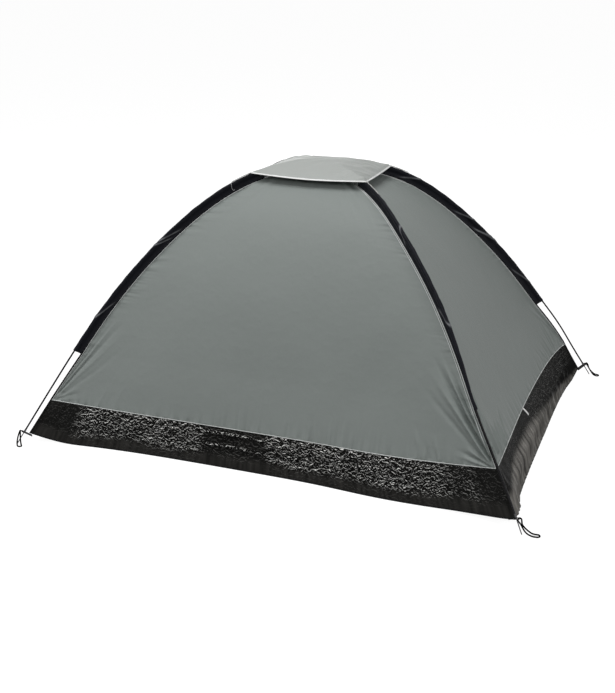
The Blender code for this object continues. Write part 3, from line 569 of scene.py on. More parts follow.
@functools.lru_cache(maxsize=None)
def seam_ease(corner, at):
    """How far a corner's seam is drawn out towards the pole."""
    return SEAM_EASE[corner] * math.exp(-(((at - SEAM_EASE_AT) / SEAM_EASE_REACH) ** 2))


@functools.lru_cache(maxsize=None)
def ease_way(corner, at):
    return in_corner_plane(corner, *arch_normal(at)) * seam_ease(corner, at)


# Folds and creases of the cloth


def smooth(share):
    share = min(max(share, 0.0), 1.0)
    return share * share * (3 - 2 * share)


def ripple(x, y, seed):
    """Soft random height, from about -1 to 1."""
    return noise.noise(Vector((x, y, seed)))


def corner_folds(side, end, inward, rise):
    """Folds that fan out from a wall's low corner, at distances in from the seam and up from the band."""
    if inward > 0.35 or rise > 0.5:
        return 0.0
    folds = CORNER_FOLDS if side in ("back", "door") else END_CORNER_FOLDS
    lift = 0.0
    for number, ((in0, up0), (in1, up1), half_width, height) in enumerate(folds):
        run_in, run_up = in1 - in0, up1 - up0
        length = math.hypot(run_in, run_up)
        share = ((inward - in0) * run_in + (rise - up0) * run_up) / length**2
        if share < 0 or share > 1.15:
            continue
        off = ((inward - in0) * run_up - (rise - up0) * run_in) / length
        off += half_width * 0.6 * ripple(share * 2.5, number * 3.7, WALL_SEED[side] + end)
        spread = off / (half_width * (0.40 + 0.75 * share))
        if abs(spread) < 3:
            taper = smooth(share / 0.10) * (1 - smooth((share - 0.4) / 0.7))
            lift += height * math.exp(-spread * spread) * taper
    return CORNER_PULL.get((side, end), OTHER_CORNER_PULL) * lift


def wall_lift(side, along, rise, half, top):
    """How far a wall's cloth stands out of its smooth shape."""
    inward = half - abs(along)
    end = 1 if along > 0 else -1
    edge = min(inward, rise, top - rise)
    seed = WALL_SEED[side]
    lift = corner_folds(side, end, inward, rise)
    patch = 0.35 + max(0.0, ripple(rise * 6, seed + end, 0.7) + 0.15) * 2.2
    pucker = ripple(rise * 30, inward * 12, seed + end) * math.exp(-inward / PUCKER_REACH)
    lift += SEAM_PUCKER * patch * pucker
    reach = RIPPLE_REACH * (1 + 2.2 * max(0.0, ripple(along * 7, seed, 1.3)))
    lift += BAND_RIPPLE * ripple(along * 36, rise * 5, seed + 3) * math.exp(-rise / reach)
    lift += SEAM_FELL * math.exp(-((inward - SEAM_FELL_AT) / 0.003) ** 2)
    head = smooth((rise - 0.88) / 0.3) * math.exp(-inward / 0.085)
    lift += HEAD_FOLD * ripple(inward * 38 + rise * 9, rise * 3, seed + 5) * head
    waves = SLOW_WAVE * ripple(along * 1.8, rise * 2.1, seed + 7)
    waves += SMALL_WAVE * ripple(along * 7, rise * 5, seed + 9)
    return lift * smooth(edge / SEAM_HOLD) + waves * smooth(edge / WAVE_HOLD)


def band_rise(side, u, half):
    """How far the seam over the tub rises towards a wall's ends."""
    reach = BAND_RISE_REACH[side]
    start, end = WALL_CORNERS[side]
    return (BAND_RISE[start] * math.exp(-(1 + u) * half / reach)
            + BAND_RISE[end] * math.exp(-(1 - u) * half / reach))


def wall_surface(side, u, at, outward=0.0):
    """A wall's cloth with its folds: u runs from -1 to 1 between the corner seams."""
    half, depth, up, (normal_out, normal_up), taper = wall_row(side, at)
    share = (at - BAND_AT) / (VENT_AT - BAND_AT)
    rise = band_rise(side, u, half) * max(0.0, 1 - share) ** 3
    half += taper * rise
    along = u * (half - PANEL_TRIM)
    bow = WALL_HOLLOW[side] * half * (1 - u * u)
    lift = outward + wall_lift(side, along, at - BAND_AT, half - PANEL_TRIM, VENT_AT - BAND_AT)
    out = depth - bow + lift * normal_out - rise * normal_up
    point = on_side(side, along, out, up + lift * normal_up + rise * normal_out)
    corner = WALL_CORNERS[side][1 if u > 0 else 0]
    if SEAM_EASE[corner]:
        point += ease_way(corner, at) * math.exp(-(1 - abs(u)) * half / 0.10)
    return point


def wall_normal(side, at):
    normal_out, normal_up = wall_row(side, at)[3]
    return on_side(side, 0, normal_out, normal_up)


def floor_edge(side, u):
    """The floor's outline on one side as (along, out): it curves out towards the corners."""
    if side in ("back", "door"):
        return u * CORNER_X, CORNER_Y - FLOOR_BOW_SIDE * (1 - u**4)
    return u * CORNER_Y, CORNER_X - (FLOOR_BOW_END - FLOOR_BOW_END_SLACK) * (1 - u**4)


def foot_shift(x, y):
    """How far the tub's foot is moved near a corner of the floor, as pitched."""
    moved = Vector((0, 0, 0))
    for corner, (outward, up) in FOOT_SHIFT.items():
        side_x, side_y = CORNERS[corner]
        away = math.hypot(x - side_x * CORNER_X, y - side_y * CORNER_Y)
        moved += in_corner_plane(corner, outward, up) * math.exp(-((away / FOOT_SHIFT_REACH) ** 2))
    return moved


def settled(spots):
    """Where points of the tent lie once it has sunk and spread as pitched."""
    spots = numpy.array(spots, dtype=float)
    moved = spots.copy()
    for place, move, reach in SETTLES:
        away = ((spots - place) ** 2).sum(axis=1) / reach**2
        moved += numpy.exp(-away)[:, None] * numpy.array(move)
    return moved


def corner_lift(u, v):
    """Height of the floor's underside: flat, but drawn up at the corners."""
    share = max(0.0, (abs(u * v) - CORNER_LIFT_FROM) / (1 - CORNER_LIFT_FROM))
    return FLOOR_CORNER_LIFT * share**2


def creases(x, y, seed):
    """Sharp-edged crumples of sheeting, from 0 to 1."""
    drift_x = 0.6 * ripple(x * 0.5, y * 0.5, seed + 5)
    drift_y = 0.6 * ripple(x * 0.5, y * 0.5, seed + 9)
    return (1 - min(1.0, 2.2 * abs(ripple(x + drift_x, y + drift_y, seed)))) ** 1.6


def at_stops(stops, x):
    """A value that runs straight from stop to stop."""
    i = min(max(bisect.bisect_right(stops, (x, 0.0)) - 1, 0), len(stops) - 2)
    (x0, value0), (x1, value1) = stops[i], stops[i + 1]
    share = min(max((x - x0) / (x1 - x0), 0.0), 1.0)
    return value0 + share * (value1 - value0)


def crumpled(side, along, rise):
    """Where a tub wall is crumpled: in patches, mostly in its upper part and away from its ends. This also
    sets where the painted highlights on its creases show.
    """
    seed = WALL_SEED[side]
    patch = smooth(0.75 + 1.5 * ripple(along * 2.3, rise * 6, seed + 20))
    if side != "back":
        half = CORNER_X if side == "door" else CORNER_Y
        return patch * smooth((rise - 0.060) / 0.04) * smooth((half - abs(along)) / 0.14) * 0.12
    patch = at_stops(BACK_CRUMPLES, along) * (0.4 + 0.6 * patch)
    lens_start, lens_end = LENS
    within = smooth((along - lens_start) / 0.05) * smooth((lens_end - along) / 0.05)
    middle = (LENS_TOP + LENS_FOOT) / 2
    reach = (LENS_TOP - LENS_FOOT) / 2
    off = abs(rise - middle + 0.008 * ripple(along * 9, 0.3, seed)) / reach
    lens = 0.1 if off < 0.8 else 0.1 + 1.3 * math.exp(-(((off - 1.0) / 0.16) ** 2))
    upper = 0.05 + 0.95 * smooth((rise - 0.030 - 0.02 * ripple(along * 6, 0.7, seed)) / 0.03)
    return upper * (patch + within * (lens - patch))


def low_sheen_painted(side, along, share):
    """Where pale streaks are painted on a tub wall's sheeting as painted reflection: low down, and mostly on
    the two end walls.
    """
    if side in ("left", "right"):
        return smooth((at_stops(END_SHEEN_HEIGHTS, along) - share) / 0.2 + 0.5)
    return 0.12 * smooth((0.4 - share) / 0.2)


def gathered(side, u, at):
    """How strongly the wall's cloth is gathered above the tub's seam."""
    rise = at - BAND_AT
    along = u * wall_row(side, at)[0]
    if side == "back":
        reach = at_stops(BACK_GATHERS, along)
    else:
        reach = 0.016 + 0.05 * max(0.0, ripple(along * 5, WALL_SEED[side], 1.3) + 0.1)
    return math.exp(-rise / reach)


def puckered(side, u, at):
    """How strongly the wall's cloth is puckered beside its corner seams."""
    inward = (1 - abs(u)) * wall_row(side, at)[0]
    end = 1 if u > 0 else -1
    patch = smooth(0.35 + 1.8 * ripple((at - BAND_AT) * 7, WALL_SEED[side] + end, 0.7))
    return (0.2 + 0.8 * patch) * math.exp(-inward / 0.030)


def tub_lift(side, along, share, half):
    """Crumples and folds of a tub wall, at a share of its height."""
    inward = half - abs(along)
    rise = share * BAND_HEIGHT
    seed = WALL_SEED[side]
    patch = crumpled(side, along, rise)
    lift = CRINKLE_COARSE * patch * creases(along * 22, rise * 40, seed)
    lift += CRINKLE_FINE * patch * creases(along * 48, rise * 70, seed + 2)
    pull = math.exp(-inward / 0.10)
    lift += CORNER_PLEAT * pull * ripple(inward * 26 + rise * 18, rise * 5, seed + 30)
    waist = math.exp(-((share - TUB_WAIST_AT) / 0.2) ** 2)
    lift -= TUB_WAIST[side] * smooth(inward / 0.2) * waist
    if side in ("left", "right"):
        lower = smooth((0.62 - share) / 0.2)
        lift += END_STREAK * lower * creases(along * 30, rise * 9, seed + 50)
    if side == "right":
        bulge = math.exp(-((along + half - END_BULGE_AT) / 0.07) ** 2)
        lift += END_BULGE * bulge * smooth((0.95 - share) / 0.5)
    lift += TUB_WAVE * ripple(along * 5, rise * 6, seed + 40)
    return lift * smooth(share / 0.06) * smooth((1 - share) / 0.06) * smooth(inward / 0.004)


def tub_surface(side, u, share, outward=0.0):
    """A tub wall from the floor's edge, share 0, to the canopy's seam, share 1."""
    along, out = floor_edge(side, u)
    foot = on_side(side, along - u * PANEL_TRIM, out, corner_lift(u, 1) + CLOTH)
    foot += foot_shift(foot.x, foot.y)
    head = wall_surface(side, u, BAND_AT)
    half = wall_row(side, BAND_AT)[0]
    lift = outward + tub_lift(side, along, share, half)
    return foot.lerp(head, share) + on_side(side, 0, lift, 0)


# Mesh helpers


def deselect():
    bpy.ops.object.select_all(action="DESELECT")


def select_only(thing):
    deselect()
    thing.select_set(True)
    bpy.context.view_layer.objects.active = thing


def apply_modifiers(thing):
    select_only(thing)
    for modifier in list(thing.modifiers):
        bpy.ops.object.modifier_apply(modifier=modifier.name)
    deselect()


def cloth(name, us, vs, place, flat, outward, thickness, marks=None):
    """A sheet: a grid whose corners go to place(u, v), with its cut in metres, flat(u, v), as its UV map.

    Each of its marks, a name and a function of (u, v), is kept as a value at every corner.
    """
    deselect()
    bpy.ops.mesh.primitive_grid_add(x_subdivisions=len(us) - 1, y_subdivisions=len(vs) - 1, size=1)
    thing = bpy.context.object
    thing.name = name
    mesh = thing.data
    mesh.name = name
    spots = []
    cuts = []
    for v in vs:
        for u in us:
            spots.extend(place(u, v))
            cuts.append(flat(u, v))
    mesh.vertices.foreach_set("co", spots)
    for label, level_at in (marks or {}).items():
        level = mesh.attributes.new(label, "FLOAT", "POINT")
        level.data.foreach_set("value", [level_at(u, v) for v in vs for u in us])
    layer = mesh.uv_layers.active or mesh.uv_layers.new(name="cut")
    layer.name = "cut"
    corners = []
    for loop in mesh.loops:
        corners.extend(cuts[loop.vertex_index])
    layer.data.foreach_set("uv", corners)
    mesh.update()
    middle = mesh.polygons[len(mesh.polygons) // 2 + (len(us) - 1) // 2]
    if middle.normal.dot(outward) < 0:
        mesh.flip_normals()
    mesh.shade_smooth()
    wall = thing.modifiers.new("thickness", "SOLIDIFY")
    wall.thickness = thickness
    wall.offset = -1
    apply_modifiers(thing)
    return thing


def distances(points):
    """Length along a line of points up to each of them."""
    marks = [0.0]
    for low, high in zip(points, points[1:]):
        marks.append(marks[-1] + (high - low).length)
    return marks


def span_at(marks, at):
    """The step of a row of marks in which a value lies, and its share of that step."""
    i = min(max(bisect.bisect_right(marks, at) - 1, 0), len(marks) - 2)
    return i, (at - marks[i]) / max(marks[i + 1] - marks[i], HAIR)


def new_mesh(name, verts, faces, cuts=None):
    """A closed piece from its corners and faces, which are turned outwards, with its cut as its UV map."""
    mesh = bpy.data.meshes.new(name)
    mesh.from_pydata(verts, [], faces)
    if cuts:
        layer = mesh.uv_layers.new(name="cut")
        layer.data.foreach_set("uv", [value for cut in cuts for value in cut])
    thing = bpy.data.objects.new(name, mesh)
    bpy.context.scene.collection.objects.link(thing)
    select_only(thing)
    bpy.ops.object.mode_set(mode="EDIT")
    bpy.ops.mesh.select_all(action="SELECT")
    bpy.ops.mesh.normals_make_consistent(inside=False)
    bpy.ops.object.mode_set(mode="OBJECT")
    deselect()
    return thing


def sweep(name, spots, section, closed=False):
    """A strip or rod: a ring of (aside, outward) points laid out at each (point, aside, outward) spot."""
    count = len(section)
    marks = distances([spot[0] for spot in spots])
    girth = distances([Vector((*corner, 0)) for corner in list(section) + [section[0]]])
    verts = []
    for point, aside, outward in spots:
        verts += [point + aside * a + outward * b for a, b in section]
    faces = []
    cuts = []
    last = len(spots) if closed else len(spots) - 1
    for i in range(last):
        j = (i + 1) % len(spots)
        for k in range(count):
            m = (k + 1) % count
            faces.append((i * count + k, i * count + m, j * count + m, j * count + k))
            low = marks[i]
            high = marks[i + 1] if i + 1 < len(marks) else marks[i] + marks[1]
            cuts += [(girth[k], low), (girth[k + 1], low), (girth[k + 1], high), (girth[k], high)]
    if not closed:
        faces.append(tuple(range(count - 1, -1, -1)))
        faces.append(tuple((len(spots) - 1) * count + k for k in range(count)))
        cuts += [(0.0, 0.0)] * (2 * count)
    thing = new_mesh(name, verts, faces, cuts)
    thing.data.shade_smooth()
    thing.data.set_sharp_from_angle(angle=math.radians(SWEEP_EDGE_DEG))
    return thing


def round_section(radius, sides):
    angles = [math.tau * k / sides for k in range(sides)]
    return [(radius * math.cos(angle), radius * math.sin(angle)) for angle in angles]


def flat_section(width, height):
    """A low rounded strip, wider than it is high, that lies with its foot at 0."""
    half = width / 2
    return [(-half, -0.0004), (-half, 0.35 * height), (-0.6 * half, 0.85 * height), (0, height),
            (0.6 * half, 0.85 * height), (half, 0.35 * height), (half, -0.0004)]


def framed(points, closed=False):
    """Spots along a line, each with a pair of crosswise directions that turn as little as they can."""
    spots = []
    aside = None
    count = len(points)
    for i, point in enumerate(points):
        before = points[i - 1] if i or closed else point
        after = points[(i + 1) % count] if i < count - 1 or closed else point
        heading = (after - before).normalized()
        if aside is None:
            aside = heading.cross(Vector((0, 0, 1)))
            if aside.length < 0.1:
                aside = heading.cross(Vector((1, 0, 0)))
        aside = (aside - heading * aside.dot(heading)).normalized()
        spots.append((point, aside, heading.cross(aside)))
    return spots


def rounded_line(points, per_step):
    """A smooth line through the points."""
    line = []
    for i in range(len(points) - 1):
        p0 = points[max(i - 1, 0)]
        p1, p2 = points[i], points[i + 1]
        p3 = points[min(i + 2, len(points) - 1)]
        for k in range(per_step):
            t = k / per_step
            line.append(0.5 * (2 * p1 + (p2 - p0) * t + (2 * p0 - 5 * p1 + 4 * p2 - p3) * t * t
                               + (3 * p1 - p0 - 3 * p2 + p3) * t**3))
    return line + [points[-1]]


def stitches(name, rows):
    """Thread that lies on cloth, from rows of (point, outward) along each seam, as small pointed beads."""
    verts = []
    faces = []
    for row in rows:
        points = [point for point, _ in row]
        marks = distances(points)
        count = int(marks[-1] / STITCH_PITCH)
        for number in range(count):
            ends = []
            for at in (number * STITCH_PITCH, number * STITCH_PITCH + STITCH_LENGTH):
                i, share = span_at(marks, at)
                ends.append(points[i].lerp(points[i + 1], share))
            outward = row[i][1]
            heading = (ends[1] - ends[0]).normalized()
            aside = heading.cross(outward) * STITCH_WIDTH
            middle = (ends[0] + ends[1]) / 2
            base = len(verts)
            rise = outward * STITCH_WIDTH
            for place in (middle - heading * STITCH_LENGTH * 0.3, middle + heading * STITCH_LENGTH * 0.3):
                verts += [place + aside, place + rise, place - aside, place - rise * 0.5]
            verts += [ends[0] - rise * 0.4, ends[1] - rise * 0.4]
            for k in range(4):
                m = (k + 1) % 4
                faces.append((base + k, base + m, base + 4 + m, base + 4 + k))
                faces.append((base + 8, base + m, base + k))
                faces.append((base + 9, base + 4 + k, base + 4 + m))
    thing = new_mesh(name, verts, faces)
    thing.data.shade_smooth()
    return thing


def lathe(name, profile, sides, solid=True):
    """A turned piece from (radius, height) steps: a disc or ring, extruded and scaled step by step."""
    deselect()
    radius, height = profile[0]
    fill = "NGON" if solid else "NOTHING"
    bpy.ops.mesh.primitive_circle_add(vertices=sides, radius=radius, fill_type=fill, location=(0, 0, 0))
    thing = bpy.context.object
    thing.name = name
    bpy.ops.object.mode_set(mode="EDIT")
    bpy.ops.transform.translate(value=(0, 0, height))
    for next_radius, next_height in profile[1:]:
        bpy.ops.mesh.extrude_region_move(TRANSFORM_OT_translate={"value": (0, 0, next_height - height)})
        scale = next_radius / radius
        bpy.ops.transform.resize(value=(scale, scale, 1))
        radius, height = next_radius, next_height
    bpy.ops.mesh.select_all(action="SELECT")
    bpy.ops.mesh.remove_doubles(threshold=HAIR)
    bpy.ops.mesh.normals_make_consistent(inside=False)
    bpy.ops.object.mode_set(mode="OBJECT")
    thing.data.shade_smooth()
    thing.data.set_sharp_from_angle(angle=math.radians(TURNED_EDGE_DEG))
    deselect()
    return thing


def placed_copy(thing, name, matrix):
    """A copy with its own mesh, put in place."""
    copy = bpy.data.objects.new(name, thing.data.copy())
    copy.data.name = name
    copy.data.transform(matrix)
    bpy.context.scene.collection.objects.link(copy)
    return copy


def block(name, size, centre, bevel, segments=3):
    """A block with rounded edges."""
    deselect()
    bpy.ops.mesh.primitive_cube_add(size=1)
    thing = bpy.context.object
    thing.name = name
    bpy.ops.object.mode_set(mode="EDIT")
    bpy.ops.transform.resize(value=size)
    bpy.ops.transform.translate(value=centre)
    bpy.ops.mesh.bevel(offset=bevel, segments=segments, affect="EDGES")
    bpy.ops.object.mode_set(mode="OBJECT")
    thing.data.shade_smooth()
    deselect()
    return thing


def join(name, things):
    deselect()
    for thing in things:
        thing.select_set(True)
    bpy.context.view_layer.objects.active = things[0]
    bpy.ops.object.join()
    things[0].name = name
    things[0].data.name = name
    deselect()
    return things[0]


def cut_with(thing, cutter, operation):
    boolean = thing.modifiers.new(operation.lower(), "BOOLEAN")
    boolean.operation = operation
    boolean.object = cutter
    apply_modifiers(thing)
    bpy.data.objects.remove(cutter, do_unlink=True)


def dress(thing, look, body, slot, *nodes):
    """Give a piece its finish and its body, and let it stand for its solids. Its slot is not used."""
    thing.data.materials.clear()
    thing.data.materials.append(LOOKS[look])
    if body == AT_HINGE:
        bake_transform(thing)
    else:
        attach(thing, body)
    if nodes:
        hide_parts(*nodes)
    return thing


def corner_matrix(corner, at):
    """A frame on the pole at an arc length: X out of the tent, Y across, Z up along the pole."""
    origin = in_corner_plane(corner, *arch_point(at))
    outward = in_corner_plane(corner, *arch_normal(at))
    across = in_corner_plane(corner, 0, 0, 1)
    upward = outward.cross(across)
    matrix = Matrix((outward, across, upward)).transposed().to_4x4()
    matrix.translation = origin
    return matrix


# Finishes


def add_node(tree, kind, inputs=None, **settings):
    """A node with its options, and with values or sockets for its inputs."""
    made = tree.nodes.new(kind)
    for key, value in settings.items():
        setattr(made, key, value)
    for key, value in (inputs or {}).items():
        if isinstance(value, bpy.types.NodeSocket):
            tree.links.new(value, made.inputs[key])
        else:
            made.inputs[key].default_value = value
    return made


def add_math(tree, operation, first, second=0.0, third=0.0):
    inputs = {0: first, 1: second, 2: third}
    return add_node(tree, "ShaderNodeMath", inputs, operation=operation).outputs[0]


def add_vector_math(tree, operation, first, second):
    return add_node(tree, "ShaderNodeVectorMath", {0: first, 1: second}, operation=operation).outputs[0]


def cut_map(tree):
    """The cloth's cut, in metres."""
    return add_node(tree, "ShaderNodeUVMap", uv_map="cut").outputs["UV"]


def object_place(tree):
    return add_node(tree, "ShaderNodeTexCoord").outputs["Object"]


def mark_level(tree, mark):
    """The level of a mark that the cloth's corners keep."""
    return add_node(tree, "ShaderNodeAttribute", attribute_name=mark).outputs["Fac"]


def new_group(name, result, **knobs):
    """A node group with a vector and its knobs, as sockets, and the socket of its one result."""
    group = bpy.data.node_groups.new(name, "ShaderNodeTree")
    group.interface.new_socket("Vector", in_out="INPUT", socket_type="NodeSocketVector")
    for label, value in knobs.items():
        kind = "NodeSocketFloat" if isinstance(value, float) else "NodeSocketVector"
        group.interface.new_socket(label, in_out="INPUT", socket_type=kind).default_value = value
    group.interface.new_socket(result, in_out="OUTPUT", socket_type="NodeSocketFloat")
    given = group.nodes.new("NodeGroupInput")
    return group, given.outputs, group.nodes.new("NodeGroupOutput").inputs[result]


def weave_group():
    """Over and under threads, as a height from -1 to 1."""
    group, given, result = new_group("plain_weave", "Height", Threads=1000.0)
    parts = add_node(group, "ShaderNodeSeparateXYZ", {0: given["Vector"]})
    waves = []
    for axis in ("X", "Y"):
        turns = add_math(group, "MULTIPLY", parts.outputs[axis], given["Threads"])
        waves.append(add_math(group, "SINE", add_math(group, "MULTIPLY", turns, math.pi)))
    height = add_math(group, "MULTIPLY", waves[0], waves[1])
    group.links.new(height, result)
    return group


def tone_group():
    """Slow changes of tone over a surface, as a factor near 1."""
    group, given, result = new_group("slow_tone", "Factor", Scale=3.0, Depth=0.06)
    cloud = add_node(group, "ShaderNodeTexNoise", {
        "Vector": given["Vector"], "Scale": given["Scale"], "Detail": 4.0, "Roughness": 0.55})
    centred = add_math(group, "SUBTRACT", cloud.outputs["Fac"], 0.5)
    swing = add_math(group, "MULTIPLY", centred, given["Depth"])
    doubled = add_math(group, "MULTIPLY", swing, 4.0)
    group.links.new(add_math(group, "ADD", doubled, 1.0), result)
    return group


def crumple_group():
    """Creased facets of two sizes, as a height from 0 to 1."""
    group, given, result = new_group("crumple", "Height", Scale=60.0)
    drift = add_node(group, "ShaderNodeTexNoise", {
        "Vector": given["Vector"], "Scale": given["Scale"], "Detail": 2.0})
    shift = add_vector_math(group, "MULTIPLY", drift.outputs["Color"], (0.012, 0.012, 0.012))
    moved = add_vector_math(group, "ADD", given["Vector"], shift)
    finer = add_math(group, "MULTIPLY", given["Scale"], 2.3)
    heights = []
    for scale in (given["Scale"], finer):
        cells = add_node(group, "ShaderNodeTexVoronoi", {"Vector": moved, "Scale": scale}, feature="F1")
        heights.append(cells.outputs["Distance"])
    small = add_math(group, "MULTIPLY", heights[1], 0.45)
    group.links.new(add_math(group, "ADD", heights[0], small), result)
    return group


def fold_group():
    """Long soft folds, as a height from about -1 to 1, that come as often as the stretch says."""
    group, given, result = new_group("soft_folds", "Height", Stretch=(0.0, 0.0, 0.0))
    stretched = add_vector_math(group, "MULTIPLY", given["Vector"], given["Stretch"])
    cloud = add_node(group, "ShaderNodeTexNoise", {"Vector": stretched, "Scale": 1.0, "Detail": 1.0})
    centred = add_math(group, "SUBTRACT", cloud.outputs["Fac"], 0.5)
    group.links.new(add_math(group, "MULTIPLY", centred, 2.0), result)
    return group


def ridge_group():
    """Winding ridges of crumpled sheeting, of two sizes, as a height from 0 to about 1."""
    group, given, result = new_group("ridges", "Height", Scale=40.0)
    finer = add_math(group, "MULTIPLY", given["Scale"], 2.2)
    heights = []
    for scale in (given["Scale"], finer):
        cloud = add_node(group, "ShaderNodeTexNoise", {
            "Vector": given["Vector"], "Scale": scale, "Detail": 1.0, "Distortion": 0.6})
        off = add_math(group, "ABSOLUTE", add_math(group, "SUBTRACT", cloud.outputs["Fac"], 0.5))
        fallen = add_math(group, "MINIMUM", add_math(group, "MULTIPLY", off, 7.0), 1.0)
        heights.append(add_math(group, "SUBTRACT", 1.0, fallen))
    small = add_math(group, "MULTIPLY", heights[1], 0.4)
    group.links.new(add_math(group, "ADD", heights[0], small), result)
    return group


def braid_group():
    """Strands that cross round a cord, from its girth and length, as a height from -1 to 1."""
    group, given, result = new_group("braid", "Height", Pitch=0.0012)
    parts = add_node(group, "ShaderNodeSeparateXYZ", {0: given["Vector"]})
    waves = []
    for operation in ("ADD", "SUBTRACT"):
        slant = add_math(group, operation, parts.outputs["X"], parts.outputs["Y"])
        turns = add_math(group, "DIVIDE", slant, given["Pitch"])
        waves.append(add_math(group, "SINE", add_math(group, "MULTIPLY", turns, math.pi)))
    group.links.new(add_math(group, "MULTIPLY", waves[0], waves[1]), result)
    return group


WEAVE = weave_group()
TONE = tone_group()
CRUMPLE = crumple_group()
FOLDS = fold_group()
RIDGES = ridge_group()
BRAID = braid_group()


def use_group(tree, group, inputs):
    return add_node(tree, "ShaderNodeGroup", inputs, node_tree=group).outputs[0]


def start_look(name, roughness, metallic=0.0, specular=0.5, sheen=0.0):
    """A material with its shader, and its tree."""
    look = bpy.data.materials.new(name)
    look.use_nodes = True
    tree = look.node_tree
    shader = tree.nodes["Principled BSDF"]
    shader.inputs["Roughness"].default_value = roughness
    shader.inputs["Metallic"].default_value = metallic
    shader.inputs["Specular IOR Level"].default_value = specular
    shader.inputs["Sheen Weight"].default_value = sheen
    shader.inputs["Sheen Roughness"].default_value = 0.45
    return look, tree, shader


def toned_colour(tree, colour, factor):
    """A colour times a factor that changes over the surface."""
    return add_node(tree, "ShaderNodeVectorMath", {0: colour, "Scale": factor}, operation="SCALE").outputs[0]


def bump(tree, height, distance, strength=1.0, under=None):
    inputs = {"Height": height, "Distance": distance, "Strength": strength}
    if under:
        inputs["Normal"] = under
    return add_node(tree, "ShaderNodeBump", inputs).outputs["Normal"]


def gathers(tree, cut, under):
    """Small folds where the cloth's own marks say that it is gathered or puckered."""
    folds_of = {"gathered": ((38.0, 4.0, 1.0), 0.011), "puckered": ((7.0, 34.0, 1.0), 0.010)}
    for mark, (stretch, depth) in folds_of.items():
        folds = use_group(tree, FOLDS, {"Vector": cut, "Stretch": stretch})
        height = add_math(tree, "MULTIPLY", folds, mark_level(tree, mark))
        under = bump(tree, height, depth, under=under)
    return under


def cloth_look(name, colour, roughness, threads=1400.0, tone=0.05, sheen=0.1, specular=0.3, crumple=0.0006,
               gathering=False, crease_glint=None):
    """Plain-weave cloth: threads a metre, slow tone, and small creases as a bump, with a painted highlight
    colour along marked creases where one is given.
    """
    look, tree, shader = start_look(name, roughness, specular=specular, sheen=sheen)
    cut = cut_map(tree)
    place = object_place(tree)
    slow = use_group(tree, TONE, {"Vector": place, "Scale": 2.3, "Depth": tone})
    fine = use_group(tree, TONE, {"Vector": place, "Scale": 190.0, "Depth": tone * 0.7})
    both = add_math(tree, "MULTIPLY", slow, fine)
    weave = use_group(tree, WEAVE, {"Vector": cut, "Threads": threads})
    threads_tone = add_math(tree, "MULTIPLY_ADD", weave, 0.03, 1.0)
    shown = toned_colour(tree, colour, add_math(tree, "MULTIPLY", both, threads_tone))
    # A painted highlight: a pale colour added along the creases that the cloth's marks give.
    if crease_glint:
        painted_light = toned_colour(tree, crease_glint, mark_level(tree, "crease_glint"))
        shown = add_vector_math(tree, "ADD", shown, painted_light)
    tree.links.new(shown, shader.inputs["Base Color"])
    rough = add_math(tree, "MULTIPLY", slow, roughness)
    tree.links.new(rough, shader.inputs["Roughness"])
    small_folds = use_group(tree, CRUMPLE, {"Vector": place, "Scale": 26.0})
    under = bump(tree, small_folds, crumple)
    if gathering:
        under = gathers(tree, cut, under)
    tree.links.new(bump(tree, weave, 0.00006, 0.6, under), shader.inputs["Normal"])
    return look


def sheeting_look():
    """Woven polythene sheeting: black and softly shiny, with painted highlights on the upward-facing edges of
    its crumples and pale streaks painted low down as painted reflection.
    """
    look, tree, shader = start_look("tub_sheeting", SHEETING_ROUGHNESS, specular=0.003)
    cut = cut_map(tree)
    place = object_place(tree)
    crumple_level = mark_level(tree, "crumpled")
    low_sheen_level = mark_level(tree, "low_sheen_painted")
    ridges = use_group(tree, RIDGES, {"Vector": place, "Scale": RIDGE_SCALE})
    above = add_vector_math(tree, "ADD", place, (0, 0, RIDGE_STEP))
    next_ridges = use_group(tree, RIDGES, {"Vector": above, "Scale": RIDGE_SCALE})
    # Painted highlight: the crease facets that face upwards are coloured pale, in place of the lamps' glint
    # on the shiny sheeting.
    facing_up = add_math(tree, "SUBTRACT", ridges, next_ridges)
    painted_glint_mask = add_math(tree, "MULTIPLY", add_math(tree, "SUBTRACT", facing_up, GLINT_FROM), GLINT_GAIN)
    painted_glint_mask = add_node(tree, "ShaderNodeClamp", {"Value": painted_glint_mask}).outputs[0]
    painted_glints = toned_colour(tree, PAINTED_GLINT_COLOUR, add_math(tree, "MULTIPLY", painted_glint_mask, crumple_level))
    # Painted reflection: pale streaks coloured in low on the walls, where the sheeting reflects the light.
    streaks = use_group(tree, FOLDS, {"Vector": cut, "Stretch": (60.0, 6.0, 1.0)})
    streaked = add_math(tree, "MULTIPLY_ADD", streaks, 1.3, 0.75)
    low_sheen_colour = toned_colour(tree, LOW_SHEEN_COLOUR, add_math(tree, "MULTIPLY", streaked, low_sheen_level))
    slow = use_group(tree, TONE, {"Vector": place, "Scale": 7.0, "Depth": 0.25})
    plain = toned_colour(tree, SHEETING_COLOUR, slow)
    painted_light = add_vector_math(tree, "ADD", painted_glints, low_sheen_colour)
    tree.links.new(add_vector_math(tree, "ADD", plain, painted_light), shader.inputs["Base Color"])
    dull = use_group(tree, TONE, {"Vector": place, "Scale": 40.0, "Depth": 0.25})
    tree.links.new(add_math(tree, "MULTIPLY", dull, SHEETING_ROUGHNESS), shader.inputs["Roughness"])
    under = bump(tree, add_math(tree, "MULTIPLY", ridges, crumple_level), 0.0034)
    tapes = use_group(tree, WEAVE, {"Vector": cut, "Threads": 420.0})
    tree.links.new(bump(tree, tapes, 0.00010, 0.4, under), shader.inputs["Normal"])
    return look


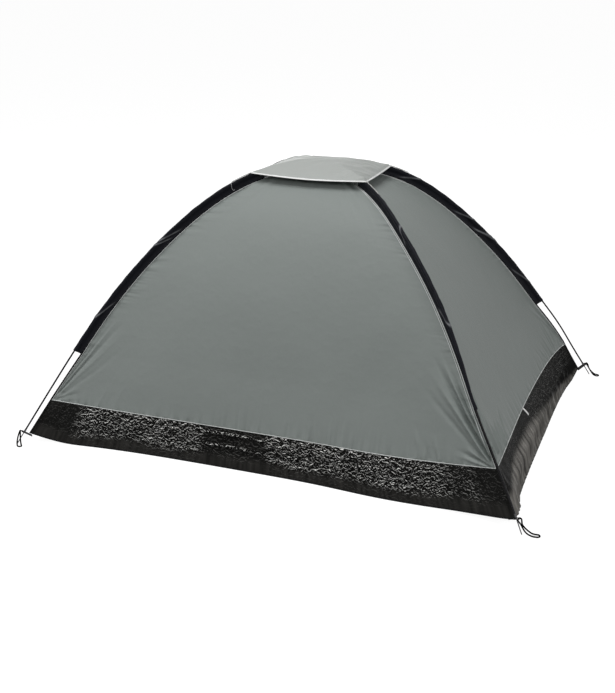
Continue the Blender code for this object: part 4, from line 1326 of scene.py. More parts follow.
def net_look():
    """Fine black net with open holes."""
    look, tree, shader = start_look("vent_mesh", 0.7, specular=0.2)
    cut = cut_map(tree)
    place = object_place(tree)
    slow = use_group(tree, TONE, {"Vector": place, "Scale": 9.0, "Depth": 0.15})
    tree.links.new(toned_colour(tree, (0.018, 0.018, 0.019), slow), shader.inputs["Base Color"])
    parts = add_node(tree, "ShaderNodeSeparateXYZ", {0: cut})
    bars = []
    for axis in ("X", "Y"):
        turns = add_math(tree, "MULTIPLY", parts.outputs[axis], 620.0 * math.pi)
        wave = add_math(tree, "ABSOLUTE", add_math(tree, "SINE", turns))
        bars.append(add_math(tree, "LESS_THAN", wave, 0.42))
    threads = add_math(tree, "MAXIMUM", bars[0], bars[1])
    tree.links.new(threads, shader.inputs["Alpha"])
    return look


def rod_look():
    """Glass-fibre tube: black, half gloss, with faint lengthwise fibres."""
    look, tree, shader = start_look("pole_rod", 0.3, specular=0.12)
    cut = cut_map(tree)
    stretched = add_node(tree, "ShaderNodeMapping", {"Vector": cut, "Scale": (60.0, 1.0, 1.0)}).outputs[0]
    fibres = use_group(tree, TONE, {"Vector": stretched, "Scale": 30.0, "Depth": 0.3})
    tree.links.new(toned_colour(tree, (0.008, 0.008, 0.009), fibres), shader.inputs["Base Color"])
    tree.links.new(add_math(tree, "MULTIPLY", fibres, 0.3), shader.inputs["Roughness"])
    tree.links.new(bump(tree, fibres, 0.00004, 0.4), shader.inputs["Normal"])
    return look


def metal_look(name, colour, roughness, metallic, specular=0.5):
    """Plated or enamelled metal, a little uneven and worn in patches."""
    look, tree, shader = start_look(name, roughness, metallic=metallic, specular=specular)
    place = object_place(tree)
    slow = use_group(tree, TONE, {"Vector": place, "Scale": 160.0, "Depth": 0.08})
    fine = use_group(tree, TONE, {"Vector": place, "Scale": 1400.0, "Depth": 0.10})
    both = add_math(tree, "MULTIPLY", slow, fine)
    tree.links.new(toned_colour(tree, colour, both), shader.inputs["Base Color"])
    tree.links.new(add_math(tree, "MULTIPLY", fine, roughness), shader.inputs["Roughness"])
    tree.links.new(bump(tree, fine, 0.00003, 0.4), shader.inputs["Normal"])
    return look


def cord_look(name, colour, pitch, roughness=0.75, specular=0.12):
    """Braided cord."""
    look, tree, shader = start_look(name, roughness, specular=specular)
    cut = cut_map(tree)
    braid = use_group(tree, BRAID, {"Vector": cut, "Pitch": pitch})
    shade = add_math(tree, "MULTIPLY_ADD", braid, 0.25, 0.95)
    tree.links.new(toned_colour(tree, colour, shade), shader.inputs["Base Color"])
    tree.links.new(bump(tree, braid, 0.00025, 0.8), shader.inputs["Normal"])
    return look


def thread_look(name, colour):
    look, tree, shader = start_look(name, 0.6, specular=0.3)
    place = object_place(tree)
    slow = use_group(tree, TONE, {"Vector": place, "Scale": 90.0, "Depth": 0.12})
    tree.links.new(toned_colour(tree, colour, slow), shader.inputs["Base Color"])
    return look


LOOKS = {
    "canopy": cloth_look("canopy_cloth", (0.200, 0.222, 0.212), 0.58, tone=0.03, sheen=0.05, gathering=True),
    "cover": cloth_look("cover_cloth", (0.335, 0.350, 0.337), 0.55, tone=0.03, sheen=0.05),
    # The sleeves' pale crease colour is a painted highlight.
    "sleeve": cloth_look("sleeve_cloth", (0.0030, 0.0034, 0.0060), 0.5, tone=0.12, sheen=0.0, specular=0.10,
                         crumple=0.0016, crease_glint=(0.17, 0.174, 0.182)),
    "binding": cloth_look("cover_binding", (0.78, 0.79, 0.78), 0.7, threads=900.0, tone=0.02, crumple=0.0001),
    "piping": cloth_look("seam_piping_and_glint", (0.62, 0.64, 0.63), 0.6, threads=900.0, tone=0.03, crumple=0.0001),
    "hem": cloth_look("dark_binding", (0.008, 0.008, 0.008), 0.7, threads=900.0, sheen=0.0, specular=0.1,
                      crumple=0.0001),
    "tag": cloth_look("blank_tag", (0.80, 0.80, 0.79), 0.5, threads=2000.0, tone=0.01, crumple=0.0001),
    "webbing": cloth_look("black_webbing", (0.008, 0.008, 0.008), 0.7, threads=700.0, tone=0.15, sheen=0.0,
                          specular=0.12, crumple=0.0002),
    "tape": cloth_look("zip_tape", (0.013, 0.013, 0.014), 0.7, threads=1100.0, tone=0.1, sheen=0.0,
                       specular=0.2, crumple=0.0001),
    "tub": sheeting_look(),
    "net": net_look(),
    "rod": rod_look(),
    "steel": metal_look("plated_steel", (0.27, 0.27, 0.275), 0.36, 1.0),
    "dark_steel": metal_look("blackened_steel", (0.06, 0.06, 0.062), 0.4, 1.0),
    "enamel": metal_look("slider_metal", (0.016, 0.016, 0.017), 0.3, 0.0),
    "coil": metal_look("zip_coil", (0.014, 0.014, 0.015), 0.4, 0.0),
    "elastic": cord_look("elastic_cord", (0.56, 0.56, 0.54), 0.0011),
    "cord": cord_look("black_cord", (0.003, 0.003, 0.003), 0.0016, specular=0.04),
    "dark_thread": thread_look("dark_thread", (0.035, 0.036, 0.037)),
    "grey_thread": thread_look("grey_thread", (0.20, 0.21, 0.21)),
    "pale_thread": thread_look("pale_thread", (0.62, 0.63, 0.62)),
}


# Canopy walls


def gathered_steps(count, gather):
    """Steps from -1 to 1 that gather towards both ends."""
    steps = []
    for i in range(count + 1):
        s = 2 * i / count - 1
        steps.append(math.copysign(1 - (1 - abs(s)) ** gather, s))
    return steps


def even_steps(low, high, count):
    return [low + (high - low) * i / count for i in range(count + 1)]


def wall_cut(side):
    """Width at the foot, length and flat area of a wall's cloth."""
    marks = even_steps(BAND_AT, VENT_AT, 60)
    length = 0.0
    area = 0.0
    for low, high in zip(marks, marks[1:]):
        half0, depth0, up0, _, _ = wall_row(side, low)
        half1, depth1, up1, _, _ = wall_row(side, high)
        rise = math.hypot(depth1 - depth0, up1 - up0)
        length += rise
        area += rise * (half0 + half1)
    return 2 * wall_row(side, BAND_AT)[0], length, area


def wall_cloth(name, side, us, ats):
    def flat(u, at):
        return (u * wall_row(side, at)[0], at)

    marks = {
        "gathered": lambda u, at: gathered(side, u, at),
        "puckered": lambda u, at: puckered(side, u, at),
    }
    return cloth(name, us, ats, lambda u, at: wall_surface(side, u, at), flat, on_side(side, 0, 1, 0.6),
                 CANOPY_SKIN, marks)


def seam_line(side, end, inward, low, high, outward, count=150):
    """Spots up a wall beside one of its corner seams."""
    spots = []
    for at in even_steps(low, high, count):
        half = wall_row(side, at)[0] - PANEL_TRIM
        spots.append((wall_surface(side, end * (1 - inward / half), at, outward), wall_normal(side, at)))
    return spots


def lined(spots):
    """The (point, outward) spots of a line, each with its crosswise direction."""
    made = []
    for i, (point, outward) in enumerate(spots):
        before = spots[max(i - 1, 0)][0]
        after = spots[min(i + 1, len(spots) - 1)][0]
        aside = (after - before).cross(outward).normalized()
        made.append((point, aside, outward))
    return made


def build_wall_trim(side):
    """Pale piping and dark stitching up both corner seams, and along the seam with the tub, and a pale strip
    on the raised fold beside one corner seam as a painted highlight.
    """
    strips = []
    for end in (-1, 1):
        spots = lined(seam_line(side, end, PIPING_WIDTH / 2, BAND_AT, VENT_AT - 0.01, 0.0))
        strips.append(sweep("strip", spots, flat_section(PIPING_WIDTH, PIPING_HEIGHT)))
    # Painted highlight: a pale strip along the raised fold beside the seam, where that fold catches the
    # light.
    spots = lined(seam_line(side, 1, FELL_GLINT_AT, BAND_AT + 0.05, VENT_AT - 0.01, 0.0))
    strips.append(sweep("strip", spots, flat_section(FELL_GLINT_WIDTH, FELL_GLINT_HEIGHT)))
    spots = []
    for u in even_steps(-1, 1, 200):
        spots.append((wall_surface(side, u, BAND_AT), wall_normal(side, BAND_AT)))
    strips.append(sweep("strip", lined(spots), flat_section(BAND_PIPING_WIDTH, BAND_PIPING_HEIGHT)))
    piping = dress(join(f"seam_piping_and_glint_{side}", strips), "piping", "tent", "canopy_cloth")
    rows = []
    for end in (-1, 1):
        rows.append(seam_line(side, end, SEAM_THREAD_AT, BAND_AT + 0.01, VENT_AT - 0.02, THREAD_LIFT))
    thread = dress(stitches(f"seam_thread_{side}", rows), "dark_thread", "tent", "canopy_cloth")
    row = []
    for u in even_steps(-0.992, 0.992, 300):
        point = wall_surface(side, u, BAND_AT + BAND_THREAD_AT, THREAD_LIFT)
        row.append((point, wall_normal(side, BAND_AT)))
    band = dress(stitches(f"band_thread_{side}", [row]), "grey_thread", "tent", "canopy_cloth")
    return [piping, thread, band]


def build_walls():
    us = gathered_steps(WALL_COLUMNS, EDGE_GATHER)
    ats = [BAND_AT + (VENT_AT - BAND_AT) * share**ROW_GATHER for share in even_steps(0, 1, WALL_ROWS)]
    for side in SIDES:
        name = f"canopy_wall_{side}"
        wall = wall_cloth(f"canopy_{side}", side, us, ats)
        trim = build_wall_trim(side)
        width, length, area = wall_cut(side)
        if side == "door":
            cut_with(wall, doorway_cutter(0.0, DOOR_HINGE_X), "DIFFERENCE")
            area -= door_area()
        dress(wall, "canopy", "tent", "canopy_cloth", name)


# Tub walls and floor


def build_tub():
    for side in SIDES:
        half = wall_row(side, BAND_AT)[0]

        def flat(u, share):
            return (u * half, share * BAND_HEIGHT)

        wall = cloth(f"tub_{side}", even_steps(-1, 1, TUB_COLUMNS[side]), even_steps(0, 1, TUB_ROWS),
                     lambda u, share: tub_surface(side, u, share), flat, on_side(side, 0, 1, 0), TUB_SKIN,
                     {"crumpled": lambda u, share: crumpled(side, u * half, share * BAND_HEIGHT),
                      "low_sheen_painted": lambda u, share: low_sheen_painted(side, u * half, share)})
        hem_spots = []
        for u in even_steps(-1, 1, 160):
            hem_spots.append((tub_surface(side, u, 0.02), on_side(side, 0, 1, 0)))
        hem = sweep(f"tub_hem_{side}", lined(hem_spots), flat_section(HEM_WIDTH, HEM_HEIGHT))
        dress(hem, "hem", "tent", "tub_sheeting")
        dress(wall, "tub", "tent", "tub_sheeting", f"tub_wall_{side}")


def build_floor_sheet():
    def place(u, v):
        x = u * floor_edge("right", v)[1]
        y = v * floor_edge("door", u)[1]
        hold = smooth((1 - max(abs(u), abs(v))) / 0.05)
        rise = FLOOR_CREASE * hold * creases(x * 13, y * 13, 71)
        rise += FLOOR_SMALL_CREASE * hold * creases(x * 31, y * 31, 77)
        return Vector((x, y, corner_lift(u, v) + CLOTH + rise)) + foot_shift(x, y)

    steps = gathered_steps(190, 1.2)
    floor = cloth("floor_of_tub", steps, gathered_steps(150, 1.2), place,
                  lambda u, v: (u * CORNER_X, v * CORNER_Y), Vector((0, 0, 1)), TUB_SKIN)
    dress(floor, "tub", "tent", "tub_sheeting", "floor_sheet")


# Roof mesh and roof cover


def crown_place(edge_at, outward_at, edge_bow, inset=0.0, relief=None):
    """Place function of a sheet over the crown, whose rows are rectangles round the tent's axis."""

    def place(u, v):
        ring = max(abs(u), abs(v))
        at = HALF_POLE - ring * (HALF_POLE - edge_at)
        out, up = beside_arch(at, outward_at)
        out -= inset * ring
        if ring == 0:
            return Vector((0, 0, up + (relief(0, 0, 0) if relief else 0)))
        along = min(abs(u), abs(v)) / ring
        draw = 1 - edge_bow(u, v) * ring**2 * (1 - along**2)
        x = u / ring * out * ALONG_X * draw
        y = v / ring * out * ALONG_Y * draw
        return Vector((x, y, up + (relief(x, y, ring) if relief else 0)))

    return place


def wall_top_bow(u, v):
    """The bow of the wall's top edge that lies below a point of the roof."""
    if abs(v) >= abs(u):
        return WALL_HOLLOW["door" if v > 0 else "back"] * ALONG_X / ALONG_Y
    return WALL_HOLLOW["right" if u > 0 else "left"] * ALONG_Y / ALONG_X


def build_roof_mesh():
    steps = even_steps(-1, 1, 60)
    place = crown_place(VENT_AT, -FIN_SLEEVE, wall_top_bow, inset=0.0008)
    half_x, half_y = (seam_point(VENT_AT)[0] * share for share in (ALONG_X, ALONG_Y))
    net = cloth("roof_net", steps, steps, place, lambda u, v: (u * half_x, v * half_y),
                Vector((0, 0, 1)), NET_SKIN)
    dress(net, "net", "tent", "vent_mesh", "roof_mesh")


COVER_LIFT = SLEEVE_OUTER + COVER_RIDGE_ROOM
COVER_OUT = beside_arch(COVER_CORNER_AT, COVER_LIFT)[0]
COVER_BOW = COVER_HOLLOW / (COVER_OUT * ALONG_Y)


def cover_relief(x, y, ring):
    """Soft creases of the cover, more of them towards the +X end."""
    crowd = 0.25 + 0.75 * smooth((x - 0.02) / 0.22)
    hold = smooth((1 - ring) / 0.06)
    slant = x * 0.86 + y * 0.5
    across = y * 0.86 - x * 0.5
    folds = COVER_FOLD * crowd * ripple(slant * 8, across * 34, 91)
    folds += COVER_CREASE * crowd * (creases(slant * 6, across * 17, 97) - 0.3)
    folds += COVER_WAVE * ripple(x * 9, y * 9, 93)
    return hold * folds


COVER_BASE = crown_place(COVER_CORNER_AT, COVER_LIFT, lambda a, b: COVER_BOW, relief=cover_relief)


def cover_place(u, v):
    """The cover's cloth, whose edges sag a little between its corners."""
    point = COVER_BASE(u, v)
    ring = max(abs(u), abs(v))
    along = min(abs(u), abs(v)) / max(ring, HAIR)
    point.z -= COVER_DROOP * ring**4 * (1 - along**2)
    return point


def cover_edge():
    """Places (u, v) round the cover's edge."""
    line = []
    corners = ((-1, -1), (1, -1), (1, 1), (-1, 1))
    for (u0, v0), (u1, v1) in zip(corners, corners[1:] + corners[:1]):
        for share in even_steps(0, 1, 90)[:-1]:
            line.append((u0 + share * (u1 - u0), v0 + share * (v1 - v0)))
    return line


def build_cover():
    steps = even_steps(-1, 1, 150)
    half_x, half_y = COVER_OUT * ALONG_X, COVER_OUT * ALONG_Y
    cover = cloth("cover_of_roof", steps, steps, cover_place, lambda u, v: (u * half_x, v * half_y),
                  Vector((0, 0, 1)), COVER_SKIN)
    spots = []
    row = []
    for u, v in cover_edge():
        point = cover_place(u, v)
        inner = cover_place(u * 0.97, v * 0.97)
        inward = (inner - point).normalized()
        outward = Vector((0, 0, 1))
        outward = (outward - inward * outward.dot(inward)).normalized()
        spots.append((point, inward, outward))
        row.append((point + inward * (BINDING_WIDTH - 0.0012) + outward * (BINDING_PROUD + 0.0001), outward))
    under = COVER_SKIN + BINDING_PROUD
    section = [(-0.0012, -under * 0.5), (-0.0008, BINDING_PROUD * 0.8), (0.0010, BINDING_PROUD),
               (BINDING_WIDTH - 0.0004, BINDING_PROUD), (BINDING_WIDTH, 0.0001),
               (BINDING_WIDTH, -under * 0.8), (BINDING_WIDTH - 0.0004, -under), (0.0010, -under),
               (-0.0008, -under * 0.9)]
    binding = dress(sweep("cover_binding", spots, section, closed=True), "binding", "roof_cover",
                    "cover_cloth")
    thread = dress(stitches("cover_thread", [row]), "pale_thread", "roof_cover", "cover_cloth")
    dress(cover, "cover", "roof_cover", "cover_cloth", "roof_cover")


# Pole sleeves


def sleeve_section(fin, count_leg, count_fold):
    """The folded sleeve across the pole, as (outward, across) from the pole's centre: leg, fold, leg."""
    leg = SLEEVE_CLOTH / 2 + 0.0003
    turn = math.radians(SLEEVE_WRAP_DEG)
    fold = []
    for i in range(count_fold + 1):
        angle = turn * (2 * i / count_fold - 1)
        fold.append((SLEEVE_RADIUS * math.cos(angle), SLEEVE_RADIUS * math.sin(angle)))
    start = fold[0]
    legs = []
    for i in range(count_leg):
        share = i / count_leg
        outward = -fin + share * (start[0] + fin)
        across = -leg + (start[1] + leg) * smooth((share - 0.45) / 0.55)
        legs.append((outward, across))
    return legs + fold + [(outward, -across) for outward, across in reversed(legs)]


def build_sleeve(corner, number):
    pole = "a" if corner in POLES["a"] else "b"
    seed = number * 7
    legs, folds = 12, 14
    count = 2 * legs + folds + 1

    def place(k, at):
        fin = fin_depth(at) - seam_ease(corner, at)
        outward, across = sleeve_section(fin, legs, folds)[round(k)]
        depth = min(max((outward + fin) / fin, 0.0), 1.0)
        slow = ripple(at * 9, outward * 14, seed + 101) * smooth(depth / 0.3) * (1 - 0.6 * depth)
        small = ripple(at * 33, outward * 20, seed + 103) * smooth(depth / 0.2)
        sway = SLEEVE_SWAY * slow + SLEEVE_SMALL_SWAY * small
        full = max(0.0, ripple(at * 22, k * 0.25, seed + 105) + 0.25)
        puff = SLEEVE_PUFF * full * smooth((depth - 0.6) / 0.3)
        for middle, slant in SLEEVE_CREASES[corner]:
            away = (at - middle - slant * outward) / (SLEEVE_CREASE_WIDTH * math.hypot(1, slant))
            puff += SLEEVE_CREASE * math.exp(-away * away) * smooth(depth / 0.2)
        hem = smooth((at - SLEEVE_FOOT_AT) / 0.004)
        puff += SLEEVE_HEM * hem * smooth((SLEEVE_FOOT_AT + SLEEVE_HEM_HEIGHT - at) / 0.003)
        hold = 1 - 0.7 * smooth((SLEEVE_FOOT_AT + 0.02 - at) / 0.02)
        side = 1 if across > 0 else -1
        spread = math.hypot(max(outward, 0.0), across)
        across += sway * hold + side * puff * (1 if outward < 0 else abs(across) / max(spread, HAIR))
        outward += puff * (max(outward, 0.0) / max(spread, HAIR))
        out, up = beside_arch(at, outward)
        drop = crossing_drop(pole, at) if outward > -FIN_SLEEVE / 2 else 0.0
        return in_corner_plane(corner, out, up - drop, across)

    def crease_glint(k, at):
        """The painted highlight along each crease of the sleeve: a pale line."""
        fin = fin_depth(at)
        outward = sleeve_section(fin, legs, folds)[round(k)][0]
        level = 0.0
        for middle, slant in SLEEVE_CREASES[corner]:
            away = (at - middle - slant * outward) / (CREASE_GLINT_WIDTH * math.hypot(1, slant))
            level += math.exp(-away * away) * smooth((outward + 0.8 * fin) / (0.3 * fin))
        return level

    stations = even_steps(SLEEVE_FOOT_AT, SLEEVE_HEAD_AT, 260)
    outward = in_corner_plane(corner, *arch_normal(1.0))
    girth = 2 * FIN_SLEEVE + math.radians(2 * SLEEVE_WRAP_DEG) * SLEEVE_RADIUS
    sleeve = cloth(f"sleeve_cloth_{corner}", range(count), stations, place,
                   lambda k, at: (k / count * girth, at), outward, SLEEVE_SKIN, {"crease_glint": crease_glint})
    dress(sleeve, "sleeve", "tent", "sleeve_cloth", f"sleeve_{corner}")
    rows = []
    beside_seam = round(legs * SLEEVE_THREAD_AT / FIN_SLEEVE)
    for side, k in ((-1, beside_seam), (1, count - 1 - beside_seam)):
        aside = in_corner_plane(corner, 0, 0, side)
        ats = even_steps(SLEEVE_FOOT_AT + 0.004, SLEEVE_HEAD_AT - 0.01, 260)
        rows.append([(place(k, at) + aside * STITCH_WIDTH, aside) for at in ats])
    thread = dress(stitches(f"sleeve_thread_{corner}", rows), "dark_thread", "tent", "sleeve_cloth")


# Poles, their joints and tips


def at_each_corner(master, at, name, node):
    """Put a copy of a metal piece on each corner's pole, at an arc length."""
    for corner in CORNERS:
        copy = placed_copy(master, f"{name}_{corner}", corner_matrix(corner, at))
        dress(copy, "dark_steel", "tent", "plated_steel", f"{node}_{corner}")
    bpy.data.objects.remove(master, do_unlink=True)


def build_poles():
    for pole in POLES:
        length = 2 * HALF_POLE
        for number in range(1, SECTION_COUNT + 1):
            low = SECTION_FOOT_AT if number == 1 else (number - 1) * SECTION_LENGTH + GAP / 2
            high = length - SECTION_FOOT_AT if number == SECTION_COUNT else number * SECTION_LENGTH - GAP / 2
            points = [pole_point(pole, at) for at in even_steps(low, high, 44)]
            rod = sweep(f"rod_{pole}_{number}", framed(points), round_section(POLE_OD / 2, 20))
            dress(rod, "rod", "tent", "pole_rod", f"pole_{pole}_section_{number}")
        for number in range(1, SECTION_COUNT):
            middle = number * SECTION_LENGTH
            ends = (middle - FERRULE_LENGTH / 2, middle + FERRULE_LENGTH / 2)
            points = [pole_point(pole, at) for at in even_steps(*ends, 24)]
            spots = framed(points)
            crimped = []
            for i, (point, aside, outward) in enumerate(spots):
                waist = CRIMP_WAIST if i in CRIMPED_RINGS else 1.0
                crimped.append((point, aside * waist, outward * waist))
            tube = sweep(f"ferrule_{pole}_{number}", crimped, round_section(FERRULE_RADIUS, 20))
            dress(tube, "steel", "tent", "plated_steel", f"pole_{pole}_ferrule_{number}")
        points = [pole_point(pole, at) for at in even_steps(CORD_END_AT, length - CORD_END_AT, 220)]
        cord = sweep(f"cord_in_{pole}", framed(points), round_section(SHOCK_CORD_OD / 2, 10))
        dress(cord, "elastic", "tent", "elastic_cord", f"shock_cord_{pole}")


def build_pole_tips():
    normal_out, normal_up = arch_normal(0)
    foot = normal_up / normal_out * PIN_OD / 4
    collar_foot = PIN_LENGTH
    collar_head = PIN_LENGTH + COLLAR_LENGTH
    collar = COLLAR_OD / 2
    profile = [
        (PIN_OD * 0.16, foot),
        (PIN_OD * 0.30, foot + 0.0006),
        (PIN_OD * 0.47, foot + 0.0040),
        (PIN_OD / 2, foot + 0.0052),
        (PIN_OD / 2, collar_foot - 0.0008),
        (PIN_OD / 2 + 0.0004, collar_foot),
        (collar - 0.0004, collar_foot + 0.0001),
        (collar, collar_foot + 0.0005),
    ]
    for groove in (collar_foot + 0.0030, collar_head - 0.0050):
        profile += [(collar, groove), (collar - 0.0004, groove + 0.0004),
                    (collar - 0.0004, groove + 0.0016), (collar, groove + 0.0020)]
    profile += [
        (collar, collar_head - 0.0005),
        (collar - 0.0005, collar_head),
        (SPIGOT_OD / 2, collar_head + 0.0001),
        (SPIGOT_OD / 2, collar_head + SPIGOT_LENGTH - 0.0020),
        (SPIGOT_OD / 2 - 0.0005, collar_head + SPIGOT_LENGTH - 0.0010),
    ]
    at_each_corner(lathe("tip_master", profile, 24), 0, "tip", "pole_tip")


# Dark tape down the corner seams, below the sleeves


def build_seam_tape(corner):
    back = in_corner_plane(corner, 0, 0, 1)
    spots = []
    for at in even_steps(SLEEVE_FOOT_AT + 0.01, BAND_AT, 40):
        outward = in_corner_plane(corner, *arch_normal(at))
        point = in_corner_plane(corner, *seam_point(at)) + ease_way(corner, at)
        spots.append((point, back, outward))
    side_x, side_y = CORNERS[corner]
    foot = Vector((side_x * CORNER_X, side_y * CORNER_Y, corner_lift(1, 1) + CLOTH))
    foot += foot_shift(foot.x, foot.y)
    side, u = ("back", side_x) if side_y < 0 else ("door", -side_x)
    head = wall_surface(side, u, BAND_AT)
    outward = in_corner_plane(corner, *arch_normal(BAND_AT))
    spots = [spot for spot in spots if spot[0].z > head.z]
    for share in even_steps(0, 1, 16):
        spots.append((head.lerp(foot, share), back, outward))
    tape = sweep(f"seam_tape_{corner}", spots, flat_section(SEAM_TAPE_WIDTH, SEAM_WELT))
    dress(tape, "hem", "tent", "sleeve_cloth")


# Corner tabs, eyelets and peg loops


def curl_radius():
    """Radius of the tab's curled end at the middle of its thickness."""
    return LOOP_CORD_OD / 2 + LOOP_ROOM + TAB_THICKNESS / 2


def build_corner_tab(corner):
    """Webbing from the tub's corner past the pole's pin, its end curled round the peg loop."""
    curl = curl_radius()
    inner = -fin_depth(CORNER_AT) - TAB_TUCK
    route = [(inner + (TAB_REACH - 2 * curl - inner) * i / 14, 0.0, TAB_HALF_WIDTH) for i in range(15)]
    for i in range(1, 7):
        share = i / 6
        width = TAB_HALF_WIDTH + (TONGUE_HALF_WIDTH - TAB_HALF_WIDTH) * smooth(share)
        route.append((TAB_REACH - (2 - share) * curl, 0.0, width))
    for i in range(1, 25):
        angle = math.radians(90 - TAB_CURL_DEG * i / 24)
        route.append((TAB_REACH + curl * math.cos(angle), curl * (math.sin(angle) - 1), TONGUE_HALF_WIDTH))
    matrix = corner_matrix(corner, CORNER_AT)
    marks = distances([Vector((along, rise, 0)) for along, rise, _ in route])

    def place(side, k):
        along, rise, half_width = route[k]
        return matrix @ Vector((along, side * half_width, rise))

    upward = matrix.to_3x3() @ Vector((0, 0, 1))
    tab = cloth(f"tab_{corner}", even_steps(-1, 1, 14), range(len(route)), place,
                lambda side, k: (side * TAB_HALF_WIDTH, marks[k]), upward, TAB_THICKNESS)
    tab.data.transform(Matrix.Translation(upward * TAB_THICKNESS / 2))
    deselect()
    bpy.ops.mesh.primitive_cylinder_add(vertices=32, radius=EYELET_FIT + PIN_OD / 2 + EYELET_BARREL + GAP,
                                        depth=4 * TAB_THICKNESS)
    hole = bpy.context.object
    hole.data.transform(matrix)
    cut_with(tab, hole, "DIFFERENCE")
    dress(tab, "webbing", "tent", "black_webbing", f"corner_tab_{corner}")
    rows = []
    top = TAB_THICKNESS / 2 + 0.0001
    near, far = inner + TAB_BOX_INSET, -TAB_BOX_FROM_PIN
    box = [(near, -TAB_BOX_HALF), (far, -TAB_BOX_HALF), (far, TAB_BOX_HALF), (near, TAB_BOX_HALF)]
    for start, end in zip(box, box[1:] + box[:1]):
        row = []
        for share in even_steps(0, 1, 6):
            x = start[0] + share * (end[0] - start[0])
            y = start[1] + share * (end[1] - start[1])
            row.append((matrix @ Vector((x, y, top)), upward))
        rows.append(row)
    dress(stitches(f"tab_thread_{corner}", rows), "dark_thread", "tent", "black_webbing")


def build_eyelets():
    inner = PIN_OD / 2 + EYELET_FIT
    barrel = inner + EYELET_BARREL
    flange = barrel + EYELET_FLANGE
    half = EYELET_HALF - EYELET_FLANGE_THICKNESS
    crown = EYELET_HALF
    upper = [(inner, half * 0.2), (inner, crown - 0.0003), (inner + 0.0003, crown),
             (flange - 0.0012, crown), (flange - 0.0003, crown - 0.0002), (flange, half + 0.0002),
             (flange - 0.0002, half), (barrel, half)]
    profile = upper + [(radius, -height) for radius, height in reversed(upper)] + [upper[0]]
    at_each_corner(lathe("eyelet_master", profile, 32, solid=False), CORNER_AT, "ring", "eyelet")


def loop_line(corner):
    """The peg loop's line: out of one side of the tab's curl, round on the ground, and into the other."""
    pivot = corner_matrix(corner, CORNER_AT) @ Vector((TAB_REACH, 0, -curl_radius()))
    reach = LOOP_REACH[corner]
    turn = math.radians(LOOP_TURN_DEG[corner])
    ground = LOOP_SHOWN_OD / 2
    bar = TONGUE_HALF_WIDTH + GAP + ground
    beside = LOOP_SHOWN_OD * LOOP_CLOSED if reach > LOOP_CLOSED_FROM else LOOP_HALF_WIDTH
    outward = in_corner_plane(corner, 1, 0)
    across = in_corner_plane(corner, 0, 0, 1)

    def strand(distance, offset):
        share = distance / (reach + LOOP_HALF_WIDTH)
        to_ground = min(share / LOOP_GROUND_SHARE, 1.0)
        height = ground + (pivot.z - ground) * (1 - to_ground) ** 2
        lean = turn * (1 - (1 - share) ** 2)
        ahead = outward * math.cos(lean) + across * math.sin(lean)
        aside = across * math.cos(lean) - outward * math.sin(lean)
        flat = Vector((pivot.x, pivot.y, 0)) + ahead * distance + aside * offset
        return Vector((flat.x, flat.y, height))

    side = [(0.0, bar * 0.5), (0.0006, bar * 0.86), (LOOP_THROAT, bar * 1.02)]
    for share in even_steps(0, 1, 8)[1:]:
        opened = smooth((share - 0.10) / 0.40)
        offset = beside + (LOOP_HALF_WIDTH - beside) * opened
        side.append((LOOP_THROAT + (reach - LOOP_THROAT) * share, offset))
    points = [strand(distance, offset) for distance, offset in side]
    for i in range(1, 10):
        angle = math.pi * i / 10
        points.append(strand(reach + LOOP_HALF_WIDTH * math.sin(angle), LOOP_HALF_WIDTH * math.cos(angle)))
    points += [strand(distance, -offset) for distance, offset in reversed(side)]
    return rounded_line(points, 4)


def build_peg_loop(corner):
    line = loop_line(corner)
    cord = sweep(f"loop_of_cord_{corner}", framed(line), round_section(LOOP_SHOWN_OD / 2, 16))
    body = f"peg_loop_{corner}"
    dress(cord, "cord", body, "black_cord", body)
    lies = [Vector(spot) for spot in settled([tuple(point) for point in line])]
    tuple(lies[0])
    distances(lies)[-1]


# Cover elastics


def build_cover_elastic(corner):
    """A round elastic from the cover's corner down the sleeve's back, with a wire hook over its flank."""
    radius = ELASTIC_OD / 2
    beside = SLEEVE_OUTER + GAP + radius
    head_at = COVER_CORNER_AT - radius
    bend_at = COVER_CORNER_AT - ELASTIC_LENGTH
    hook_at = bend_at - 6 * radius

    def spot(at, outward, across=0.0):
        return in_corner_plane(corner, *beside_arch(at, outward), across)

    cord_line = [spot(head_at + 0.006, beside)]
    cord_line += [spot(at, beside) for at in even_steps(head_at, bend_at + 0.004, 10)]
    cord = sweep(f"elastic_cord_{corner}", framed(rounded_line(cord_line, 3)), round_section(radius, 14))
    dress(cord, "elastic", "roof_cover", "elastic_cord", f"cover_elastic_{corner}")
    route = [spot(bend_at + 0.009, beside), spot(bend_at + 0.002, beside)]
    for i in range(1, 7):
        angle = math.pi / 2 * i / 6
        route.append(spot(bend_at - i * radius * 0.6, beside * math.cos(angle), beside * math.sin(angle)))
    for further, drop in ((0.0, 0.5), (0.001, 0.85), (0.004, 1.0), (0.008, 0.9)):
        route.append(spot(hook_at + further, -ELASTIC_DROP * drop, beside))
    hook = sweep(f"cover_hook_{corner}", framed(rounded_line(route, 4)), round_section(HOOK_WIRE / 2, 10))
    dress(hook, "steel", "roof_cover", "elastic_cord")


# Door and its zip


DOOR_TABLE = []


def fill_door_table():
    """Arc length at each rise from the sill, measured along the door's chord."""
    low_at, high_at = arc_at_seam_height(DOOR_SILL_Z), arc_at_seam_height(DOOR_TOP_Z)

    def middle(at):
        _, depth, up, _, _ = wall_row("door", at)
        return Vector((0, depth, up))

    low, high = middle(low_at), middle(high_at)
    chord = (high - low).normalized()
    for at in even_steps(low_at - 0.03, high_at + 0.03, 400):
        DOOR_TABLE.append(((middle(at) - low).dot(chord), at))
    return low, chord, (high - low).length


DOOR_LOW, DOOR_UP, DOOR_LENGTH = fill_door_table()
DOOR_OUT = Vector((0, DOOR_UP.z, -DOOR_UP.y))


